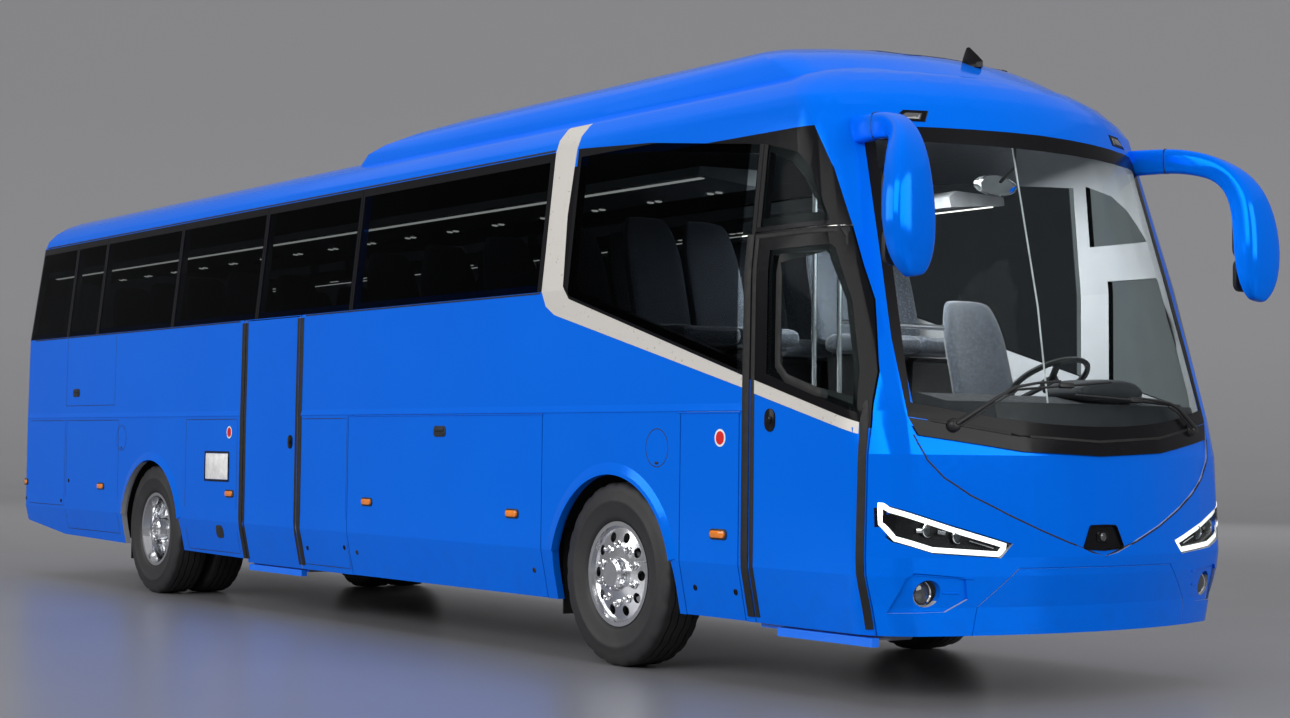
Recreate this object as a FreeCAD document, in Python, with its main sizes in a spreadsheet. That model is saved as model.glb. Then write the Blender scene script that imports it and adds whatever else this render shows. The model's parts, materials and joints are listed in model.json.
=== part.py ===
"""Coach bus, 12.4 m long with two axles, as a parametric model in millimetres.

Frame: +X towards the front of the coach, +Y towards its left side, +Z up. The origin lies on
the ground, under the middle of the overall length and width.
"""
import FreeCAD, Part
import math
import os

import Sketcher

VEC = FreeCAD.Vector
UP = VEC(0, 0, 1)
FORWARD = VEC(1, 0, 0)
LEFT = VEC(0, 1, 0)
RIGHT_SIDE = -1
LEFT_SIDE = 1
SIDES = (("right", RIGHT_SIDE), ("left", LEFT_SIDE))

SIZE_TABLE = (
    ("overall_length", 12430, "rear face to the tip of the front panel"),
    ("body_width", 2550, "across the side panels"),
    ("front_overhang", 2580, "front axle to the tip of the front panel"),
    ("wheelbase", 6700, "front axle to rear axle"),
    ("skirt_height", 340, "lower edge of the skirt"),
    ("tuck_height", 632, "crease under which the skirt tucks in"),
    ("skirt_tuck", 60, "how far the skirt's lower edge is tucked in"),
    ("nose_height", 724, "foremost point of the front panel"),
    ("cowl_height", 1224, "lower edge of the black wiper band"),
    ("belt_height", 1436, "swage line, and top of the flaps"),
    ("sill_height", 2163, "lower edge of the side windows"),
    ("head_height", 3008, "upper edge of the side windows"),
    ("cant_height", 3060, "joint of the side walls and the roof"),
    ("roof_height", 3300, "flat of the roof"),
    ("dome_height", 3545, "top of the front dome"),
    ("sill_lean", 7, "side leans in by this at the window sill"),
    ("head_lean", 98, "side leans in by this at the window head"),
    ("roof_flat_half", 640, "half width of the flat of the roof"),
    ("windscreen_rake", 0.264, "windscreen's lean per unit of height"),
    ("front_bow_low", 2800, "radius of the bowed front in plan"),
    ("front_bow_head", 1900, "radius of the bowed front at the window head"),
    ("front_corner", 300, "front corner radius in plan"),
    ("rear_bow", 12000, "radius of the bowed rear in plan"),
    ("rear_corner", 180, "rear corner radius in plan"),
    ("wall", 45, "thickness of walls, doors and flaps"),
    ("roof_wall", 60, "thickness of the roof"),
    ("panel_gap", 8, "gap round doors and flaps"),
    ("glass", 6, "thickness of the side glass"),
    ("glass_seat", 0.3, "adhesive gap behind the glass"),
    ("pane_gap", 6, "joint between side panes"),
    ("panel_step", 10, "depth of the V-shaped front panel behind the bumper's face"),
    ("lamp_depth", 30, "depth of the lamps' faces behind their lenses"),
    ("arch_radius", 612, "wheel arch"),
    ("arch_centre", 480, "height of the wheel arch's centre"),
    ("arch_lip", 12, "how far the lip round a wheel arch stands out"),
    ("house_radius", 690, "wheel housing, inside"),
    ("house_skin", 12, "sheet of the wheel housing"),
    ("tyre_radius", 522, "tyre, outside"),
    ("tyre_width", 290, "tyre, across"),
    ("rim_radius", 298, "rim lip"),
    ("rim_seat_radius", 286, "where the tyre's bead sits"),
    ("track_outer", 2196, "between the outer wheels' centre planes"),
    ("twin_spacing", 335, "between the centre planes of twin wheels"),
    ("kingpin_track", 1880, "between the steering axes"),
    ("kingpin_radius", 24, "kingpin"),
    ("running_gap", 0.05, "radial clearance of a running fit"),
    ("spindle_radius", 45, "wheel spindle"),
    ("hub_radius", 140, "wheel hub"),
    ("nut_circle", 335, "pitch circle of the wheel nuts"),
    ("nut_count", 10, "wheel nuts"),
    ("vent_count", 10, "round vent holes in a rim"),
    ("vent_radius", 29, "a vent hole"),
    ("vent_circle", 430, "pitch circle of the vent holes"),
    ("rail_centre", 390, "chassis rail, from the middle"),
    ("rail_width", 70, "chassis rail, across"),
    ("rail_low", 640, "underside of the chassis rails"),
    ("rail_high", 860, "top of the chassis rails"),
    ("floor_top", 1480, "passenger floor"),
    ("floor_skin", 45, "thickness of the passenger floor"),
    ("cab_floor_top", 1010, "driver's floor"),
    ("hold_floor_top", 420, "luggage hold floor"),
    ("hold_skin", 30, "thickness of the hold floor and bulkheads"),
    ("door_front", 5815, "front edge of the front door"),
    ("door_rear", 4923, "rear edge of the front door"),
    ("front_door_top", 2366, "top of the front door"),
    ("mid_door_front", -365, "front edge of the middle door"),
    ("mid_door_rear", -1270, "rear edge of the middle door"),
    ("mid_door_top", 2150, "top of the middle door"),
    ("hold_flap_front", 2911, "front edge of the luggage flap"),
    ("hold_flap_rear", 429, "rear edge of the luggage flap"),
    ("locker_flap_front", 4829, "front edge of the flap behind the front door"),
    ("locker_flap_rear", 4315, "rear edge of the flap behind the front door"),
    ("door_post_inset", 145, "door post, from the door's front edge"),
    ("door_post_side", 1135, "door post, from the middle"),
    ("door_post_radius", 25, "door post"),
    ("door_arm_reach", 400, "door post to the door's pivot"),
    ("door_pivot_side", 1120, "door's pivot, from the middle"),
    ("door_pivot_radius", 14, "door's pivot pin"),
    ("seat_pitch", 790, "between rows of seats"),
    ("seat_rows", 11, "rows of seats"),
    ("aisle_half", 200, "half width of the aisle"),
    ("mirror_reach", 1407, "outside of the mirrors, from the middle"),
    ("steering_wheel_radius", 230, "steering wheel"),
)


class Size(float):
    """A driving dimension: a number that also knows its cell in the sheet."""

    def __new__(cls, value, text):
        size = float.__new__(cls, value)
        size.text = text
        return size

    def _with(self, other, sign, value, swap=False):
        mine, theirs = self.text, text_of(other)
        first, second = (theirs, mine) if swap else (mine, theirs)
        return Size(value, "(%s %s %s)" % (first, sign, second))

    def __add__(self, other):
        return self._with(other, "+", float(self) + float(other))

    def __radd__(self, other):
        return self._with(other, "+", float(other) + float(self), swap=True)

    def __sub__(self, other):
        return self._with(other, "-", float(self) - float(other))

    def __rsub__(self, other):
        return self._with(other, "-", float(other) - float(self), swap=True)

    def __mul__(self, other):
        return self._with(other, "*", float(self) * float(other))

    def __rmul__(self, other):
        return self._with(other, "*", float(other) * float(self), swap=True)

    def __truediv__(self, other):
        return self._with(other, "/", float(self) / float(other))

    def __neg__(self):
        return Size(-float(self), "(0 - %s)" % self.text)


def text_of(value):
    """The expression that stands for a size or a plain number."""
    return value.text if isinstance(value, Size) else "%.6f" % value


class Sizes:
    """All driving dimensions, by name."""

    def __init__(self, document):
        sheet = document.addObject("Spreadsheet::Sheet", "Sizes")
        for row, (name, value, note) in enumerate(SIZE_TABLE, start=1):
            sheet.set("A%d" % row, name)
            sheet.set("B%d" % row, str(value))
            sheet.set("C%d" % row, note)
            sheet.setAlias("B%d" % row, name)
        document.recompute()
        for name, _, _ in SIZE_TABLE:
            setattr(self, name, Size(sheet.get(name), "Sizes." + name))


doc = FreeCAD.newDocument("coach")
D = Sizes(doc)
NODES = {}

FRONT_AXLE = D.overall_length / 2 - D.front_overhang
REAR_AXLE = FRONT_AXLE - D.wheelbase
NOSE = D.overall_length / 2
TAIL = -D.overall_length / 2
HALF = D.body_width / 2


def keep(label, item):
    """Names a finished sub-part; its label is also the name of its file."""
    item.Label = label
    NODES[label] = item
    return item


def feature(label, shape):
    """A finished sub-part whose shape is worked out from the sizes."""
    item = doc.addObject("Part::Feature", label)
    item.Shape = shape
    return keep(label, item)


def bind(item, **sizes):
    """Ties an object's properties to expressions in the sheet's sizes."""
    for name, value in sizes.items():
        item.setExpression(name, text_of(value))
    return item


def place(item, x, y, z):
    """Ties an object's place to the sizes."""
    for axis, value in zip("xyz", (x, y, z)):
        item.setExpression("Placement.Base." + axis, text_of(value))
    return item


def box_object(label, x, y, z):
    """A box bound to the sizes, each direction as a (low, high) pair."""
    item = doc.addObject("Part::Box", label)
    bind(item, Length=x[1] - x[0], Width=y[1] - y[0], Height=z[1] - z[0])
    return place(item, x[0], y[0], z[0])


def rod_object(label, radius, length, x, y, z, axis=UP):
    """A cylinder bound to the sizes, that starts at a point and runs along an axis."""
    item = doc.addObject("Part::Cylinder", label)
    item.Placement = FreeCAD.Placement(VEC(), FreeCAD.Rotation(UP, axis))
    bind(item, Radius=radius, Height=length)
    return place(item, x, y, z)


def fused(label, *items):
    """Several objects as one solid."""
    item = doc.addObject("Part::MultiFuse", label)
    item.Shapes = list(items)
    return item


def cut(label, base, tool):
    """One object less another."""
    item = doc.addObject("Part::Cut", label)
    item.Base = base
    item.Tool = tool
    return item


def block(x, y, z):
    """A plain box shape from (low, high) pairs."""
    low = VEC(float(x[0]), float(y[0]), float(z[0]))
    size = [float(pair[1] - pair[0]) for pair in (x, y, z)]
    return Part.makeBox(size[0], size[1], size[2], low)


def prism(points, low, high, axis):
    """A polygon drawn square to an axis and run from low to high along it."""
    low, high = float(low), float(high)
    corners = []
    for first, second in points:
        first, second = float(first), float(second)
        corners.append({"x": VEC(low, first, second), "y": VEC(first, low, second),
                        "z": VEC(first, second, low)}[axis])
    face = Part.Face(Part.makePolygon(corners + corners[:1]))
    along = {"x": FORWARD, "y": LEFT, "z": UP}[axis]
    return face.extrude(along * (high - low))


def tube(radius, start, end):
    """A round bar between two points."""
    start, end = VEC(*map(float, start)), VEC(*map(float, end))
    way = end - start
    return Part.makeCylinder(float(radius), way.Length, start, way)


def turned(profile, centre, axis):
    """A solid of revolution: (radius, along) points turned about an axis through a centre."""
    points = [VEC(float(radius), 0, float(along)) for radius, along in profile]
    solid = Part.Face(Part.makePolygon(points + points[:1])).revolve(VEC(), UP, 360)
    solid.Placement = FreeCAD.Placement(VEC(*map(float, centre)), FreeCAD.Rotation(UP, axis))
    return solid


def mirrored(shape):
    """The shape on the other side of the coach."""
    return shape.mirror(VEC(), LEFT)


def both(shape):
    """A shape and its mirror image, as one compound."""
    return Part.makeCompound([shape, mirrored(shape)])


def sketch_on(body, role, label):
    """A sketch on one of a body's own origin planes."""
    sketch = body.newObject("Sketcher::SketchObject", label)
    plane = [item for item in body.Origin.OriginFeatures if item.Role == role][0]
    sketch.AttachmentSupport = [(plane, "")]
    sketch.MapMode = "FlatFace"
    return sketch


def draw_polygon(sketch, points):
    """A closed outline whose corners are held to the sizes."""
    total = len(points)
    first_line = len(sketch.Geometry)
    flat = [VEC(float(x), float(y), 0) for x, y in points]
    for index in range(total):
        sketch.addGeometry(Part.LineSegment(flat[index], flat[(index + 1) % total]))
    for index in range(total):
        after = first_line + (index + 1) % total
        sketch.addConstraint(Sketcher.Constraint("Coincident", first_line + index, 2, after, 1))
    for index, point in enumerate(points):
        for kind, value in zip(("DistanceX", "DistanceY"), point):
            rule = Sketcher.Constraint(kind, -1, 1, first_line + index, 1, float(value))
            number = sketch.addConstraint(rule)
            if isinstance(value, Size):
                sketch.setExpression("Constraints[%d]" % number, value.text)


def draw_circle(sketch, x, y, radius):
    """A circle held to the sizes."""
    circle = Part.Circle(VEC(float(x), float(y), 0), UP, float(radius))
    line = sketch.addGeometry(circle)
    rules = (("DistanceX", x), ("DistanceY", y))
    for kind, value in rules:
        number = sketch.addConstraint(Sketcher.Constraint(kind, -1, 1, line, 3, float(value)))
        if isinstance(value, Size):
            sketch.setExpression("Constraints[%d]" % number, value.text)
    number = sketch.addConstraint(Sketcher.Constraint("Radius", line, float(radius)))
    if isinstance(radius, Size):
        sketch.setExpression("Constraints[%d]" % number, radius.text)


# The outside of the body: level sections, joined from the skirt up to the roof.

NOSE_AT_SKIRT = NOSE - 65
NOSE_AT_CREASE = NOSE - 50
NOSE_AT_TUCK = NOSE - 12
NOSE_TIP = NOSE
NOSE_AT_COWL = NOSE - 30
NOSE_AT_BELT = NOSE - 82
CREASE_HEIGHT = D.skirt_height + 138


def blend(levels, height):
    """The value at a height between the (height, value) levels."""
    height = float(height)
    for (low, first), (high, second) in zip(levels, levels[1:]):
        if height <= float(high):
            break
    share = (height - float(low)) / (float(high) - float(low))
    return float(first) + share * (float(second) - float(first))


def shoulder(height):
    """How far the roof has turned inwards at a height, from 0 to 1."""
    share = (height - float(D.head_height)) / float(D.roof_height - D.head_height)
    return 1 - math.sqrt(max(0.0, 1 - min(share, 1.0) ** 2))


def half_width(height):
    """Half the body's width at a height."""
    levels = ((D.skirt_height, HALF - D.skirt_tuck), (D.tuck_height, HALF),
              (D.belt_height, HALF), (D.sill_height, HALF - D.sill_lean),
              (D.head_height, HALF - D.head_lean))
    if height <= D.head_height:
        return blend(levels, height)
    lean = float(D.head_lean - D.sill_lean) / float(D.head_height - D.sill_height)
    straight = float(HALF - D.head_lean) - lean * (height - float(D.head_height))
    top = float(HALF - D.head_lean) - lean * float(D.roof_height - D.head_height)
    return straight - (top - float(D.roof_flat_half)) * shoulder(height)


def nose_at(height):
    """The foremost point of the body at a height."""
    at_head = NOSE_AT_BELT - D.windscreen_rake * (D.head_height - D.belt_height)
    levels = ((D.skirt_height, NOSE_AT_SKIRT), (CREASE_HEIGHT, NOSE_AT_CREASE),
              (D.tuck_height, NOSE_AT_TUCK), (D.nose_height, NOSE_TIP),
              (D.cowl_height, NOSE_AT_COWL), (D.belt_height, NOSE_AT_BELT),
              (D.head_height, at_head))
    if height <= D.head_height:
        return blend(levels, height)
    brow_roll = 540
    raked = float(at_head) - float(D.windscreen_rake) * (height - float(D.head_height))
    return raked - brow_roll * shoulder(height)


def tail_at(height):
    """The rearmost point of the body at a height."""
    levels = ((D.skirt_height, TAIL + 25), (D.tuck_height, TAIL + 3), (D.belt_height, TAIL),
              (D.sill_height, TAIL + 10), (D.head_height, TAIL + 105))
    if height <= D.head_height:
        return blend(levels, height)
    rear_roll, rear_lean = 275, 0.12
    leaning = float(TAIL) + 105 + rear_lean * (height - float(D.head_height))
    return leaning + rear_roll * shoulder(height)


def bow_at(height):
    """Plan radius of the bowed front at a height."""
    levels = ((D.skirt_height, D.front_bow_low), (D.belt_height, D.front_bow_low),
              (D.head_height, D.front_bow_head), (D.roof_height, 1300))
    return blend(levels, height)


CORNER_CHORDS = 5
FRONT_CHORDS = 10
REAR_CHORDS = 4


def level_section(height, half, nose, tail, bow, corner, rear_bow, rear_corner):
    """A level section of the body: bowed front and rear, straight sides, rounded corners."""
    half, nose, tail = float(half), float(nose), float(tail)

    def end(tip, sense, bow, corner):
        centre = tip - sense * bow
        side_y = half - corner
        side_x = centre + sense * math.sqrt((bow - corner) ** 2 - side_y ** 2)
        reach = math.hypot(side_x - centre, side_y)
        out_x, out_y = (side_x - centre) / reach, side_y / reach
        meet = (centre + bow * out_x, bow * out_y)
        size = math.hypot(out_x, out_y + 1)
        middle = (side_x + corner * out_x / size, side_y + corner * (out_y + 1) / size)
        return (side_x, half), middle, meet, (tip, 0)

    def at(point, sign=1):
        return VEC(point[0], sign * point[1], float(height))

    side_f, corner_f, meet_f, tip_f = end(nose, 1, bow, corner)
    side_r, corner_r, meet_r, tip_r = end(tail, -1, rear_bow, rear_corner)
    def arc(first, middle, last, count):
        return Part.Arc(first, middle, last).discretize(Number=count + 1)[:-1]

    points = arc(at(side_f, -1), at(corner_f, -1), at(meet_f, -1), CORNER_CHORDS)
    points += arc(at(meet_f, -1), at(tip_f), at(meet_f), FRONT_CHORDS)
    points += arc(at(meet_f), at(corner_f), at(side_f), CORNER_CHORDS)
    points += [at(side_f)]
    points += arc(at(side_r), at(corner_r), at(meet_r), CORNER_CHORDS)
    points += arc(at(meet_r), at(tip_r), at(meet_r, -1), REAR_CHORDS)
    points += arc(at(meet_r, -1), at(corner_r, -1), at(side_r, -1), CORNER_CHORDS)
    points += [at(side_r, -1)]
    return Part.makePolygon(points + points[:1])


def body_section(height, inset=0.0, drop=0.0):
    """The body's section at a height, drawn in by an inset and lowered by a drop."""
    return level_section(
        height - drop, half_width(height) - inset, nose_at(height) - inset,
        tail_at(height) + inset, bow_at(height) - inset, float(D.front_corner) - inset,
        float(D.rear_bow) - inset, float(D.rear_corner) - inset)


HULLS = {}
ROOF_LEVELS = 6


def hull(inset=0.0):
    """The body as one block, drawn in by an inset; inner blocks run on out below."""
    inset = float(inset)
    if inset in HULLS:
        return HULLS[inset]
    lower_levels = [float(level) for level in (
        D.skirt_height, CREASE_HEIGHT, D.tuck_height, D.nose_height, D.cowl_height,
        D.belt_height, D.sill_height, D.head_height)]
    sections = [body_section(level, inset) for level in lower_levels]
    if inset:
        sections.insert(0, body_section(lower_levels[0], inset, drop=100))
    rise = float(D.roof_height - D.head_height)
    for step in range(1, ROOF_LEVELS + 1):
        level = float(D.head_height) + rise * math.sin(math.pi / 2 * step / ROOF_LEVELS)
        sections.append(body_section(level, inset, drop=inset * step / ROOF_LEVELS))
    HULLS[inset] = Part.makeLoft(sections, True, True)
    return HULLS[inset]


class Skin:
    """The layer of the body between two insets."""

    def __init__(self, outer, inner):
        self.outer = outer
        self.inner = inner

    def common(self, shape):
        """What of a shape lies in the layer."""
        return shape.common(hull(self.outer)).cut(hull(self.inner))


FAR = 9000.0
WALL = float(D.wall)
GAP = float(D.panel_gap)
GLASS_SEAT = float(D.glass + D.glass_seat)


def front_line(offset=0.0):
    """The front edge of the front door, run on up the corner post, as (x, height) points."""
    edge = float(D.door_front) + offset
    return ((edge, float(D.skirt_height) - 200), (edge, float(D.cowl_height) + 140),
            (edge - 15, float(D.belt_height) + 190), (edge - 103, float(D.sill_height) - 175),
            (edge - 250, float(D.front_door_top)), (edge - 385, float(D.head_height) - 340),
            (edge - 625, float(D.cant_height) + 10), (edge - 760, float(D.cant_height) + 200))


def ahead_of_line(offset, side=0):
    """The space in front of the corner post."""
    points = front_line(offset)
    outline = list(points) + [(FAR, points[-1][1]), (FAR, points[0][1])]
    low = -FAR if side <= 0 else 0.0
    high = FAR if side >= 0 else 0.0
    return prism(outline, low, high, "y")


def side_slab(points, side, depth=200):
    """A (x, height) outline run through one side of the body."""
    inner = float(HALF) - depth
    if side < 0:
        return prism(points, -FAR / 2, -inner, "y")
    return prism(points, inner, FAR / 2, "y")


def rectangle(x, z):
    """Corner points of a rectangle from (low, high) pairs."""
    return ((x[0], z[0]), (x[1], z[0]), (x[1], z[1]), (x[0], z[1]))


WALL_SKIN = Skin(0, WALL)
GLASS_SKIN = Skin(0, D.glass)
REBATE_SKIN = Skin(-20, GLASS_SEAT)
BAND_SKIN = Skin(0, 4.0)
BAND_SEAT = Skin(-20, 4.3)


# Outlines of doors, flaps and windows, as (x, height) points on the side of the body.

SKIRT = float(D.skirt_height)
BELT = float(D.belt_height)
SILL = float(D.sill_height)
HEAD = float(D.head_height)
CANT = float(D.cant_height)
REAR_JOINT = float(TAIL) + 200
MULLIONS = (-5038.0, -4327.0, -2690.0, -1102.0, 415.0)
BAND_REAR = 2875.0
BAND_FRONT = 3060.0
REAR_PANE_END = float(TAIL) + 62
PANE_MARGIN = 45.0


def front_door_outline(gap=0.0):
    """The front door: upright rear edge, front edge leaning back over its upper half."""
    rear = float(D.door_rear) - gap
    top = float(D.front_door_top) + gap
    edge = [point for point in front_line(gap) if point[1] <= top]
    lean = (edge[-1][0] - edge[-2][0]) / (edge[-1][1] - edge[-2][1])
    corner = (edge[-1][0] + lean * (top - edge[-1][1]), top)
    foot = SKIRT - 100
    return [(rear, foot)] + [(edge[0][0], foot)] + edge[1:] + [corner, (rear, top)]


def middle_door_outline(gap=0.0):
    """The middle door, up to the window sill."""
    return rectangle((float(D.mid_door_rear) - gap, float(D.mid_door_front) + gap),
                     (SKIRT - 100, float(D.mid_door_top) + gap))


def flap_outline(rear, front, gap=0.0):
    """A flap under the swage line."""
    return rectangle((float(rear) - gap, float(front) + gap), (SKIRT - 100, BELT - 6 + gap))


def big_window_outline(inset=0.0):
    """The large front side window, over the sloping band."""
    rear, front = BAND_FRONT + 66 + inset, float(D.door_rear) - 4 - inset
    slope = (1628.0 - 2126.0) / (4913.0 - 3174.0)
    low_rear = 2126.0 + slope * (rear - 3174.0) + inset
    low_front = 2126.0 + slope * (front - 3174.0) + inset
    corner = 50.0
    return ((rear + corner, low_rear + slope * corner), (front, low_front),
            (front, HEAD - 168 - inset), (3874.0, HEAD - 48 - inset), (rear, HEAD - 3 - inset),
            (rear, low_rear + corner))


def quarter_window_outline(inset=0.0):
    """The window over the front door, with its curved front edge."""
    rear = float(D.door_rear) + 4 + inset
    low = float(D.front_door_top) + 30 + inset
    edge = front_line(-90 - inset)
    front_low = edge[4][0]
    return ((rear, low), (front_low, low), (edge[5][0] - 20, HEAD - 330 - inset),
            (edge[5][0] - 130, HEAD - 240 - inset), (rear, HEAD - 168 - inset))


def door_window_outline(inset=0.0):
    """The glass of the front door; the left side has the driver's window in its place."""
    rear = float(D.door_rear) + 133 + inset
    front = float(D.door_front) - 70 - inset
    top = float(D.front_door_top) - 96 - inset
    slope = (1428.0 - 1628.0) / (5745.0 - 5061.0)
    low_rear = 1628.0 + slope * (rear - 5061.0) + inset
    low_front = 1628.0 + slope * (front - 5061.0) + inset
    return ((rear, low_rear), (front, low_front), (front - 15, 1640.0), (front - 100, 1990.0),
            (front - 215, top - 20), (front - 240, top), (rear, top))


def band_outline(grow=0.0):
    """The silver band: down the pillar, round the corner and along under the front window."""
    slope = (1628.0 - 2126.0) / (4913.0 - 3174.0)
    front = float(D.door_rear) - 12.0
    return ((BAND_REAR - grow, HEAD + 185), (BAND_REAR - grow, SILL + 3),
            (BAND_REAR + 50, SILL - 90 - grow), (BAND_REAR + 145, SILL - 144 - grow),
            (front, 1547.0 - grow), (front, 1628.0 - 20 + grow),
            (BAND_FRONT + 114, 2126.0 - 20 + grow), (BAND_FRONT + 45 + grow, SILL + 20),
            (BAND_FRONT + 15 + grow, HEAD - 400), (BAND_FRONT + 62 + grow, HEAD + 185))


def side_panes(inset=0.0):
    """The side windows between the rear corner and the silver band."""
    edges = (REAR_PANE_END,) + MULLIONS + (BAND_REAR,)
    half_gap = float(D.pane_gap) / 2
    panes = []
    for rear, front in zip(edges, edges[1:]):
        panes.append(rectangle((rear + half_gap + inset, front - half_gap - inset),
                               (SILL + inset, HEAD - inset)))
    return panes


def arch_tool(axle, side):
    """The opening of a wheel arch through one side."""
    low, high = (-FAR / 2, -400.0) if side < 0 else (400.0, FAR / 2)
    centre = float(D.arch_centre)
    radius = float(D.arch_radius)
    ring = Part.makeCylinder(radius, high - low, VEC(float(axle), low, centre), LEFT)
    legs = block((float(axle) - radius, float(axle) + radius), (low, high), (0, centre))
    return ring.fuse(legs)


def arch_lip(axle, side):
    """The raised lip round a wheel arch, fading out into the side."""
    inner = float(D.arch_radius) - 6
    out = float(D.arch_lip)
    surface = float(HALF)
    section = ((inner, surface - 30), (inner, surface + out), (inner + 22, surface + out - 2),
               (inner + 74, surface - 1), (inner + 74, surface - 30))
    points = [VEC(radius, along, 0) for radius, along in section]
    ring = Part.Face(Part.makePolygon(points + points[:1]))
    ring = ring.revolve(VEC(), LEFT, -ARCH_LIP_TURN)
    ring.rotate(VEC(), LEFT, -(180 - ARCH_LIP_TURN) / 2)
    ring.translate(VEC(float(axle), 0, float(D.arch_centre)))
    return ring if side > 0 else mirrored(ring)


ARCH_LIP_TURN = 152


def swage_lip(side, rear, front):
    """The lip of the upper panel where it overhangs the flaps."""
    surface = float(HALF)
    section = ((surface - 20, BELT + 3), (surface + 5, BELT + 3), (surface + 5.5, BELT + 8),
               (surface + 3, BELT + 22), (surface - 3, BELT + 60), (surface - 20, BELT + 60))
    return prism([(side * y, z) for y, z in section], rear, front, "x")


def skirt_trim(side):
    """What is taken off the skirt's lower edge: it rises behind the rear wheels."""
    rise = 190.0
    rear_axle = float(REAR_AXLE)
    points = ((float(TAIL) - 50, 0), (float(TAIL) - 50, SKIRT + rise),
              (float(TAIL) + 1120, SKIRT + 62), (rear_axle - 500, SKIRT + 38),
              (rear_axle + 700, SKIRT + 38), (rear_axle + 1900, SKIRT + 25),
              (rear_axle + 2300, SKIRT), (rear_axle + 2300, 0))
    return side_slab(points, side, depth=1200)


def side_wall(side):
    """One side from the rear corner to the front corner post, as a hollow wall."""
    span = block((REAR_JOINT, FAR), (-FAR, 0) if side < 0 else (0, FAR), (0, CANT))
    wall = WALL_SKIN.common(span).cut(ahead_of_line(GAP))
    tools = [arch_tool(FRONT_AXLE, side), arch_tool(REAR_AXLE, side), skirt_trim(side)]
    for pane in side_panes(PANE_MARGIN):
        tools.append(side_slab(pane, side))
    tools.append(side_slab(big_window_outline(PANE_MARGIN), side))
    tools.append(side_slab(quarter_window_outline(PANE_MARGIN), side))
    tools.append(side_slab(flap_outline(D.hold_flap_rear, D.hold_flap_front, GAP), side))
    if side == RIGHT_SIDE:
        tools.append(side_slab(front_door_outline(GAP), side))
        tools.append(side_slab(middle_door_outline(GAP), side))
        tools.append(side_slab(flap_outline(D.locker_flap_rear, D.locker_flap_front, GAP), side))
    else:
        tools.append(side_slab(door_window_outline(PANE_MARGIN - 10), side))
    window_band = rectangle((REAR_PANE_END, BAND_REAR), (SILL - 1, HEAD + 1))
    rebates = [side_slab(window_band, side), side_slab(big_window_outline(-1.0), side)]
    rebates.append(side_slab(quarter_window_outline(-1.0), side))
    if side == LEFT_SIDE:
        rebates.append(side_slab(door_window_outline(-1.0), side))
    for rebate in rebates:
        tools.append(REBATE_SKIN.common(rebate))
    tools.append(BAND_SEAT.common(side_slab(band_outline(0.5), side)))
    return wall.cut(tools)


def hinge_rod(side, rear, front):
    """The rod that a flap hangs from, along the swage line."""
    y = side * float(HALF)
    return tube(FLAP_ROD, (float(rear) - 20, y, FLAP_AXIS), (float(front) + 20, y, FLAP_AXIS))


FLAP_ROD = 5.0
FLAP_AXIS = BELT - 4.5


def flap(side, rear, front):
    """A flap under the swage line, channelled along its top edge for the hinge rod."""
    low = SKIRT + 2
    leaf = WALL_SKIN.common(side_slab(rectangle((float(rear), float(front)), (low, BELT - 8)), side))
    y = side * float(HALF)
    channel = tube(FLAP_ROD + 0.3, (float(rear) - 50, y, FLAP_AXIS),
                   (float(front) + 50, y, FLAP_AXIS))
    lip = block((float(rear), float(front)), sorted_pair(y, y - side * 8.0),
                (BELT - 20, FLAP_AXIS))
    return leaf.fuse(lip).cut(channel).removeSplitter()


def sorted_pair(first, second):
    """Two values, low one first."""
    return (min(first, second), max(first, second))


def glass_panes(side):
    """All fixed glass of one side, each pane a solid of its own."""
    outlines = side_panes() + [big_window_outline(), quarter_window_outline()]
    if side == LEFT_SIDE:
        outlines.append(door_window_outline())
    return Part.makeCompound([GLASS_SKIN.common(side_slab(line, side)) for line in outlines])


SWAGE_REAR = float(TAIL) + 230
SWAGE_FRONT = float(D.door_rear) - 60
for side_name, side in SIDES:
    wall_shape = side_wall(side)
    added = [hinge_rod(side, D.hold_flap_rear, D.hold_flap_front)]
    added += [arch_lip(axle, side) for axle in (FRONT_AXLE, REAR_AXLE)]
    if side == RIGHT_SIDE:
        added.append(hinge_rod(side, D.locker_flap_rear, D.locker_flap_front))
        added.append(swage_lip(side, SWAGE_REAR, float(D.mid_door_rear) - 30))
        added.append(swage_lip(side, float(D.mid_door_front) + 30, SWAGE_FRONT))
    else:
        added.append(swage_lip(side, SWAGE_REAR, SWAGE_FRONT))
    feature("side_wall_" + side_name, wall_shape.fuse(added))
    feature("luggage_flap_" + side_name, flap(side, D.hold_flap_rear, D.hold_flap_front))
feature("side_glass", Part.makeCompound([glass_panes(side) for _, side in SIDES]))
feature("locker_flap", flap(RIGHT_SIDE, D.locker_flap_rear, D.locker_flap_front))

band_parts = []
for side_name, side in SIDES:
    band_parts.append(BAND_SKIN.common(side_slab(band_outline(), side)))
feature("accent_bands", Part.makeCompound(band_parts))


# The front: mask with corner posts, windscreen, wiper band, bumper and lamps.

WINDSCREEN_HALF_LOW = 1078.0
WINDSCREEN_HALF_HEAD = 1000.0
WINDSCREEN_LOW = float(D.cowl_height) + 75
WINDSCREEN_TOP = HEAD - 105
BUMPER_TOP = float(D.tuck_height) + 38


def front_slab(points):
    """A (y, height) outline run forward through the front."""
    return prism(points, 4300.0, FAR, "x")


def symmetric(points):
    """A right-hand half outline, from the middle outwards, completed to both sides."""
    return [(y, z) for y, z in points] + [(-y, z) for y, z in reversed(points) if y]


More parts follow.
